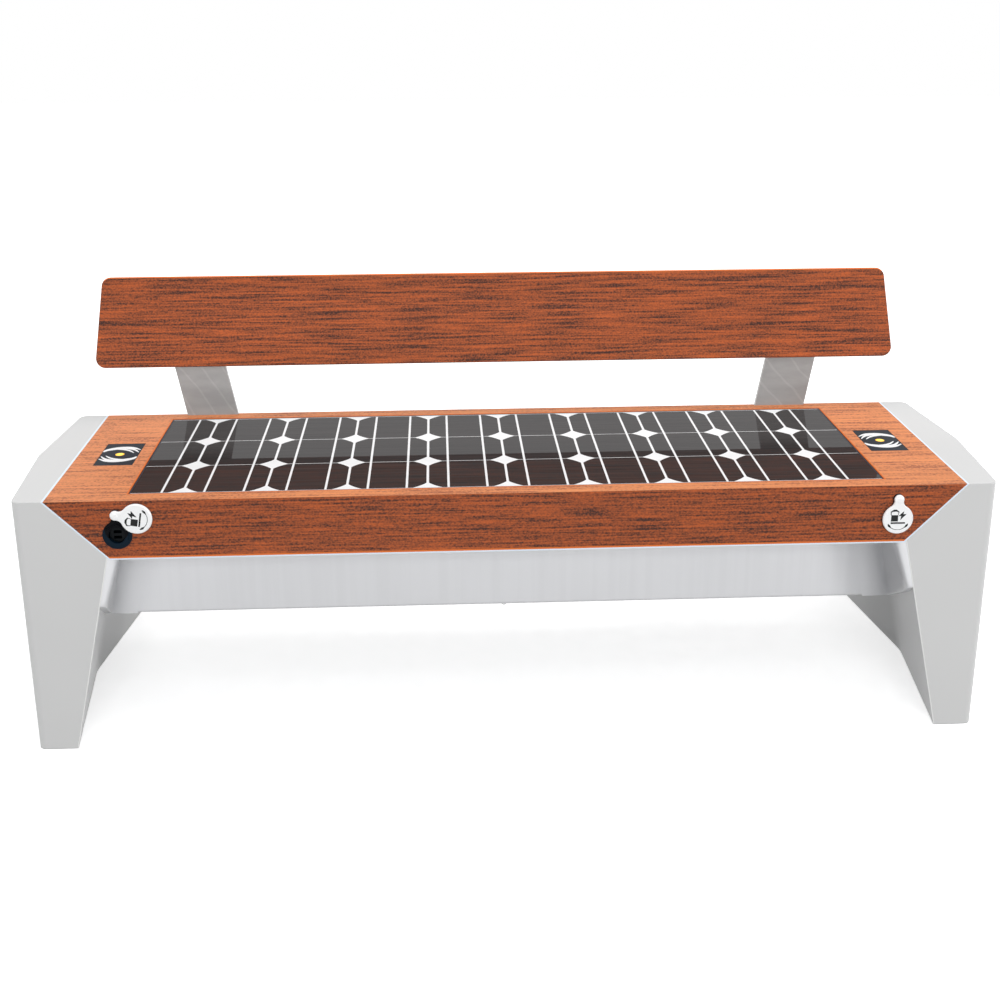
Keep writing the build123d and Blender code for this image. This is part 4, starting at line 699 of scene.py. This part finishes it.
# %% [markdown]
# ## Solar panel
#
# Wafers are cut from round ingots, so each is a square with its corners lost to a circle,
# and the white back sheet shows as a small star where four of them meet. The outermost
# wafers are cut narrower. Two soldered ribbons cross each whole one from front to back.
# Real cells lie under 3 mm of glass; here they are inlaid at its top under a clear coat,
# which reflects the room in the same way. The squares could be painted on by a brick
# texture, but their cut corners are a shape, so they are cut as one. All wafers share one
# mesh and all ribbons another, since they never move apart.

# %% Outline of a wafer
COLUMN_PITCH = 0.134
ROW_PITCH = 0.132
COLUMN_GAP = 0.0042
ROW_GAP = 0.0018
CUT_RADIUS = 0.0777
CORNER_STEPS = 6


def wafer(middle, left, right):
    """Outline of a square wafer, its corners on a circle, cut off at two X limits."""
    x, y = middle
    half = Vector((COLUMN_PITCH - COLUMN_GAP, ROW_PITCH - ROW_GAP)) / 2
    inset = [sqrt(CUT_RADIUS**2 - side**2) for side in half]
    points = []
    for sign_x, sign_y in ((1, 1), (-1, 1), (-1, -1), (1, -1)):
        ends = [Vector((half.x, inset[0])), Vector((inset[1], half.y))]
        shares = [step / CORNER_STEPS for step in range(CORNER_STEPS + 1)]
        corner = [ends[0].lerp(ends[1], share).normalized() * CUT_RADIUS for share in shares]
        if sign_x * sign_y < 0:
            corner.reverse()
        points += [(sign_x * point.x, sign_y * point.y) for point in corner]
    return [(min(max(x + u, left), right), y + v) for u, v in points]


# %% Lay out wafers and ribbons
ROWS = 3
COLUMNS = 10
SHIFT = -0.0035
RIBBON = 0.0038
RIBBON_SPREAD = 0.0645

glass_low, glass_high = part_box("solar_glass")
glass_size = glass_high - glass_low
panel_middle = (glass_low + glass_high) / 2
rows = [panel_middle.y + (row - (ROWS - 1) / 2) * ROW_PITCH for row in range(ROWS)]
ends = (glass_low.x, glass_high.x)
ribbon_size = (RIBBON, ROWS * ROW_PITCH - ROW_GAP)
wafers, ribbons = [], []
for column in range(COLUMNS):
    x = SHIFT + (column - (COLUMNS - 1) / 2) * COLUMN_PITCH
    wafers += [wafer((x, y), *ends) for y in rows]
    for side in (-1, 1):
        ribbon = x + side * RIBBON_SPREAD / 2
        if ends[0] < ribbon < ends[1]:
            ribbons.append(rectangle((ribbon, panel_middle.y), ribbon_size))
print(len(wafers), "wafers,", len(ribbons), "ribbons")

# %% Lay the panel's three layers
LAYER = 0.00012
face = glass_high.z - 3 * LAYER
slab = rectangle(panel_middle.xy, glass_size.xy)
panel_sheet = add_piece(
    "panel_sheet", *prisms([slab], flat, glass_low.z, face), finishes["panel_glass"], "bench"
)
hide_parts("solar_glass")
panel_wafers = add_piece(
    "panel_wafers", *prisms(wafers, flat, face, face + LAYER), finishes["cell"], "bench"
)
ribbon_finish = under_glass("soldered ribbon", (0.90, 0.91, 0.92))
panel_ribbons = add_piece(
    "panel_ribbons", *prisms(ribbons, flat, face, face + 2 * LAYER), ribbon_finish, "bench"
)
print("top of the panel at", round(glass_high.z, 4))

# %% [markdown]
# ## Printed marks
#
# A printed film of ink is thinner than a tenth of a millimetre. Here it is a tenth or
# slightly more, so that it stands clear of the surface and of strokes that it crosses.
# The charging pads carry three white strokes on either side of the amber window, and each
# socket cap a small pictogram: a battery, a bolt, a line and an arc. An image would need
# a place on each piece and blur close up, so the marks are outlines. They share the body
# of the piece they are printed on and swing with the caps. Outlines are in millimetres,
# and each point of a stroke has the stroke's width there.

# %% Outlines of the marks
STROKE_STEPS = 6
PAD_MARKS = (
    ((-32, 14, 3), (-27, 24, 9), (-13, 32, 13), (3, 36, 11), (18, 34, 7), (32, 23, 2)),
    ((-4, 33, 5), (9, 31, 7), (21, 24, 5.5), (31, 10, 1.5)),
    ((-12, 29, 5), (2, 26, 6), (13, 19, 4.5), (23, 7, 1.5)),
)
BATTERY = ((-12.2, -3.2), (-0.4, -3.2), (-0.4, 8.0), (-12.2, 8.0))
BATTERY_SIDES = (
    ((-13.2, 8.0), (-11.8, 8.0), (-12.2, 12.6), (-13.6, 12.6)),
    ((-1.2, 8.0), (-0.4, 8.0), (0.6, 12.6), (-0.4, 12.6)),
)
BATTERY_TOP = (
    (-13.6, 12.0), (-9.6, 14.0), (-6.3, 14.5), (-3.0, 14.0), (0.8, 12.0),
    (0.8, 14.2), (-4.0, 17.8), (-8.6, 17.8), (-13.6, 14.2),
)
BOLT = ((8.8, 14.8), (-0.2, 6.2), (4.6, 6.4), (3.4, -0.8), (13.2, 9.6), (8.1, 9.4))
LINE = ((-12.2, -7.5), (11.8, -7.5), (11.8, -4.7), (-12.2, -4.7))
ARC_RADIUS = 18.6
ARC_SPAN = radians(64)
ARC_STEPS = 24
ARC_RISE = 0.5
ARC_THIN, ARC_SWELL = 0.9, 3.0
SWELL_AT, SWELL_REACH = 0.80, 0.24


def stroke(points):
    """Outline of a tapering stroke through points (u, v, width), smoothed between them."""
    dense = []
    last = len(points) - 1
    for index in range(last):
        places = [min(max(index + step, 0), last) for step in (-1, 0, 1, 2)]
        before, here, after, beyond = [Vector(points[place]) for place in places]
        for step in range(STROKE_STEPS):
            f = step / STROKE_STEPS
            dense.append(
                here
                + (after - before) * (f / 2)
                + (before * 2 - here * 5 + after * 4 - beyond) * (f * f / 2)
                + (here * 3 - before - after * 3 + beyond) * (f**3 / 2)
            )
    dense.append(Vector(points[-1]))
    left, right = [], []
    for index, point in enumerate(dense):
        ahead = dense[min(index + 1, len(dense) - 1)] - dense[max(index - 1, 0)]
        aside = Vector((-ahead.y, ahead.x)).normalized() * (point.z / 2)
        left.append((point.x + aside.x, point.y + aside.y))
        right.append((point.x - aside.x, point.y - aside.y))
    return right + left[::-1]


def arc_stroke():
    """The arc under the line: thin in the middle, swelling towards both ends."""
    points = []
    for step in range(ARC_STEPS + 1):
        part = 2 * step / ARC_STEPS - 1
        swell = ARC_SWELL * max(0, 1 - abs(abs(part) - SWELL_AT) / SWELL_REACH)
        angle = part * ARC_SPAN
        place = (ARC_RADIUS * sin(angle), ARC_RISE - ARC_RADIUS * cos(angle))
        points.append((*place, ARC_THIN + swell))
    return stroke(points)


cap_marks = [BATTERY, *BATTERY_SIDES, BATTERY_TOP, BOLT, LINE, arc_stroke()]
print(2 * len(PAD_MARKS), "marks on each pad,", len(cap_marks), "on each cap")


# %% Print the marks
INK = 0.0001
MILLIMETRE = 0.001
CAP_DISC = 0.0345
CAP_OPEN = radians(80)
CAP_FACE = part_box("right_cap")[0].y
pivot_low, pivot_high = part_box("cap_pivots")
PIVOT_X = pivot_high.x - (pivot_high.z - pivot_low.z) / 2
PIVOT_Z = (pivot_low.z + pivot_high.z) / 2

pad_ink = plastic("white ink", (0.92, 0.925, 0.93), 0.5)
cap_ink = plastic("black ink", (0.010, 0.011, 0.011), 0.5, Specular_IOR_Level=0.2)
for side, sign in (("left", 1), ("right", -1)):
    pad_low, pad_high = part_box(side + "_pad_cover")
    pad_middle = (pad_low + pad_high) / 2
    points, faces = [], []
    for level, mark in enumerate(PAD_MARKS):
        outline = stroke(mark)
        for turn in (1, -1):

            def on_pad(u, v, w):
                across, along = sign * turn * u * MILLIMETRE, turn * v * MILLIMETRE
                return (pad_middle.x + across, pad_middle.y + along, pad_high.z + w)

            more, around = prisms([outline], on_pad, 0, INK * (1 + level / 4))
            faces += [[len(points) + corner for corner in face] for face in around]
            points += more
    add_piece(side + "_pad_print", points, faces, pad_ink, "bench")

    turned = CAP_OPEN if side == "left" else 0
    pivot_x = -sign * PIVOT_X

    def on_cap(u, v, w):
        u, v = u * MILLIMETRE, v * MILLIMETRE - CAP_DISC
        x = u * cos(turned) - v * sin(turned)
        z = u * sin(turned) + v * cos(turned)
        return (pivot_x + x, CAP_FACE - w, PIVOT_Z + z)

    cap_mesh = prisms(cap_marks, on_cap, 0, INK)
    add_piece(side + "_cap_print", *cap_mesh, cap_ink, side + "_cap_body")
print("caps turn about", round(PIVOT_X, 4), round(PIVOT_Z, 4))

# %% [markdown]
# ## Camera
#
# The camera stands in front of the bench, a little left of its middle and above the
# backrest, and looks down on the seat. It could be aimed by a Track To constraint, which
# keeps a target in the middle of the frame; turns given as numbers leave the framing free.

# %% Camera
CAMERA_PLACE = (-0.1145, -2.3338, 1.2322)
CAMERA_HEADING = radians(2.655)
CAMERA_DOWN = radians(17.43)
CAMERA_ROLL = radians(-0.21)
SENSOR_WIDTH = 36
FOCAL_LENGTH = 48.535
CAMERA_SHIFT = -0.0853
camera_data = bpy.data.cameras.new("camera")
camera_data.sensor_fit = "HORIZONTAL"
camera_data.sensor_width = SENSOR_WIDTH
camera_data.lens = FOCAL_LENGTH
camera_data.shift_y = CAMERA_SHIFT
camera = bpy.data.objects.new("camera", camera_data)
camera.matrix_world = (
    Matrix.Translation(CAMERA_PLACE)
    @ Matrix.Rotation(-CAMERA_HEADING, 4, "Z")
    @ Matrix.Rotation(pi / 2 - CAMERA_DOWN, 4, "X")
    @ Matrix.Rotation(CAMERA_ROLL, 4, "Z")
)
bpy.context.scene.collection.objects.link(camera)
bpy.context.scene.camera = camera
print("camera at", CAMERA_PLACE)


# %% [markdown]
# ## Light
#
# Daylight on such a bench is soft and comes from all sides. A bright world would do that
# alone, but it would leave the faces flat, so five large area lamps of different strength
# light it, at a level where colours come out about as they are written. Only the lamp
# above shows in reflections, because the others would draw bright rectangles there.

# %% Lamps
LAMP_TARGET = Vector((0, 0, 0.35))
LAMPS = (
    ("front", (0.45, -6.5, 2.0), (3.6, 2.8), 305),
    ("above", (0.3, -0.5, 3.0), (3.0, 2.4), 45),
    ("rear", (-1.0, 6.5, 2.4), (3.6, 2.8), 130),
    ("left", (-5.0, 0.0, 3.0), (2.4, 2.0), 85),
    ("right", (5.0, 0.0, 3.0), (2.4, 2.0), 125),
)
REFLECTED_LAMP = "above"


def area_lamp(name, place, size, power):
    data = bpy.data.lights.new(name, "AREA")
    data.shape = "RECTANGLE"
    data.size, data.size_y = size
    data.energy = power
    lamp = bpy.data.objects.new(name, data)
    lamp.location = place
    lamp.rotation_euler = (LAMP_TARGET - Vector(place)).to_track_quat("-Z", "Y").to_euler()
    lamp.visible_glossy = name == REFLECTED_LAMP
    bpy.context.scene.collection.objects.link(lamp)


for name, place, size, power in LAMPS:
    area_lamp(name, place, size, power)
print(len(LAMPS), "lamps")


# %% [markdown]
# ## Room
#
# The backdrop is white, yet it must not add much light to the bench. A white wall would
# do both, so Light Path splits the rays instead: the camera, metal and glass see a world
# of strength 1, and all other rays get a dim one.

# %% Room
ROOM_COLOUR = (0.97, 0.985, 1.0)
ROOM_STRENGTH = 0.18


def seen_directly(tree):
    """1 for what the camera, metal and glass see, 0 for what lights the scene."""
    path = tree.nodes.new("ShaderNodeLightPath")
    seen = path.outputs["Is Camera Ray"]
    for other in ("Is Glossy Ray", "Is Transmission Ray"):
        either = tree.nodes.new("ShaderNodeMath")
        either.operation = "MAXIMUM"
        tree.links.new(seen, either.inputs[0])
        tree.links.new(path.outputs[other], either.inputs[1])
        seen = either.outputs[0]
    return seen


def background(tree, colour, strength):
    made = tree.nodes.new("ShaderNodeBackground")
    made.inputs["Color"].default_value = (*colour, 1)
    made.inputs["Strength"].default_value = strength
    return made.outputs["Background"]


world = bpy.data.worlds.new("room")
world.use_nodes = True
room = world.node_tree
room.nodes.clear()
choose = room.nodes.new("ShaderNodeMixShader")
output = room.nodes.new("ShaderNodeOutputWorld")
room.links.new(seen_directly(room), choose.inputs["Fac"])
room.links.new(background(room, ROOM_COLOUR, ROOM_STRENGTH), choose.inputs[1])
room.links.new(background(room, grey(1), 1.0), choose.inputs[2])
room.links.new(choose.outputs["Shader"], output.inputs["Surface"])
bpy.context.scene.world = world
print("room light", ROOM_STRENGTH, "and a white backdrop")

# %% [markdown]
# ## Floor
#
# The floor is a plane that keeps the bench's soft shadow. Left plain it would come out
# grey; lit until it is white it would throw too much light back. So the camera, metal and
# glass see it glow, more so with distance, until it meets the world's white, while all
# other rays meet a darker floor without glow. The Light Path helper above gives the
# split here too.

# %% Floor
FLOOR = 14.0
FLOOR_DROP = 0.0005
FLOOR_LIFT = (0.60, 0.95)
FLOOR_NEAR, FLOOR_FAR = 1.3, 4.5
FLOOR_PALE = (0.90, 0.90, 0.90)
FLOOR_BOUNCE = (0.14, 0.14, 0.14)
floor_finish = plastic("floor", FLOOR_PALE, 0.95, grain=30.0, Specular_IOR_Level=0.0)
tree = floor_finish.node_tree
floor_surface = tree.nodes["Principled BSDF"]
seen = seen_directly(tree)
away = tree.nodes.new("ShaderNodeVectorMath")
away.operation = "LENGTH"
tree.links.new(tree.nodes["Texture Coordinate"].outputs["Object"], away.inputs[0])
fade = tree.nodes.new("ShaderNodeMapRange")
tree.links.new(away.outputs["Value"], fade.inputs["Value"])
limits = zip(("From Min", "From Max", "To Min", "To Max"), (FLOOR_NEAR, FLOOR_FAR, *FLOOR_LIFT))
for name, value in limits:
    fade.inputs[name].default_value = value
lift = tree.nodes.new("ShaderNodeMath")
lift.operation = "MULTIPLY"
tree.links.new(seen, lift.inputs[0])
tree.links.new(fade.outputs["Result"], lift.inputs[1])
floor_surface.inputs["Emission Color"].default_value = (1, 1, 1, 1)
tree.links.new(lift.outputs[0], floor_surface.inputs["Emission Strength"])
albedo = tree.nodes.new("ShaderNodeMix")
albedo.data_type = "RGBA"
albedo.inputs[6].default_value = (*FLOOR_BOUNCE, 1)
tree.links.new(floor_surface.inputs["Base Color"].links[0].from_socket, albedo.inputs[7])
tree.links.new(seen, albedo.inputs[0])
tree.links.new(albedo.outputs[2], floor_surface.inputs["Base Color"])
floor_mesh = bpy.data.meshes.new("floor")
floor_corners = rectangle((0, 0), (2 * FLOOR, 2 * FLOOR))
floor_mesh.from_pydata([(*corner, -FLOOR_DROP) for corner in floor_corners], [], [(0, 1, 2, 3)])
floor_mesh.materials.append(floor_finish)
floor = bpy.data.objects.new("floor", floor_mesh)
bpy.context.scene.collection.objects.link(floor)
bpy.context.scene.view_settings.view_transform = "Standard"
print("floor", 2 * FLOOR, "m wide")
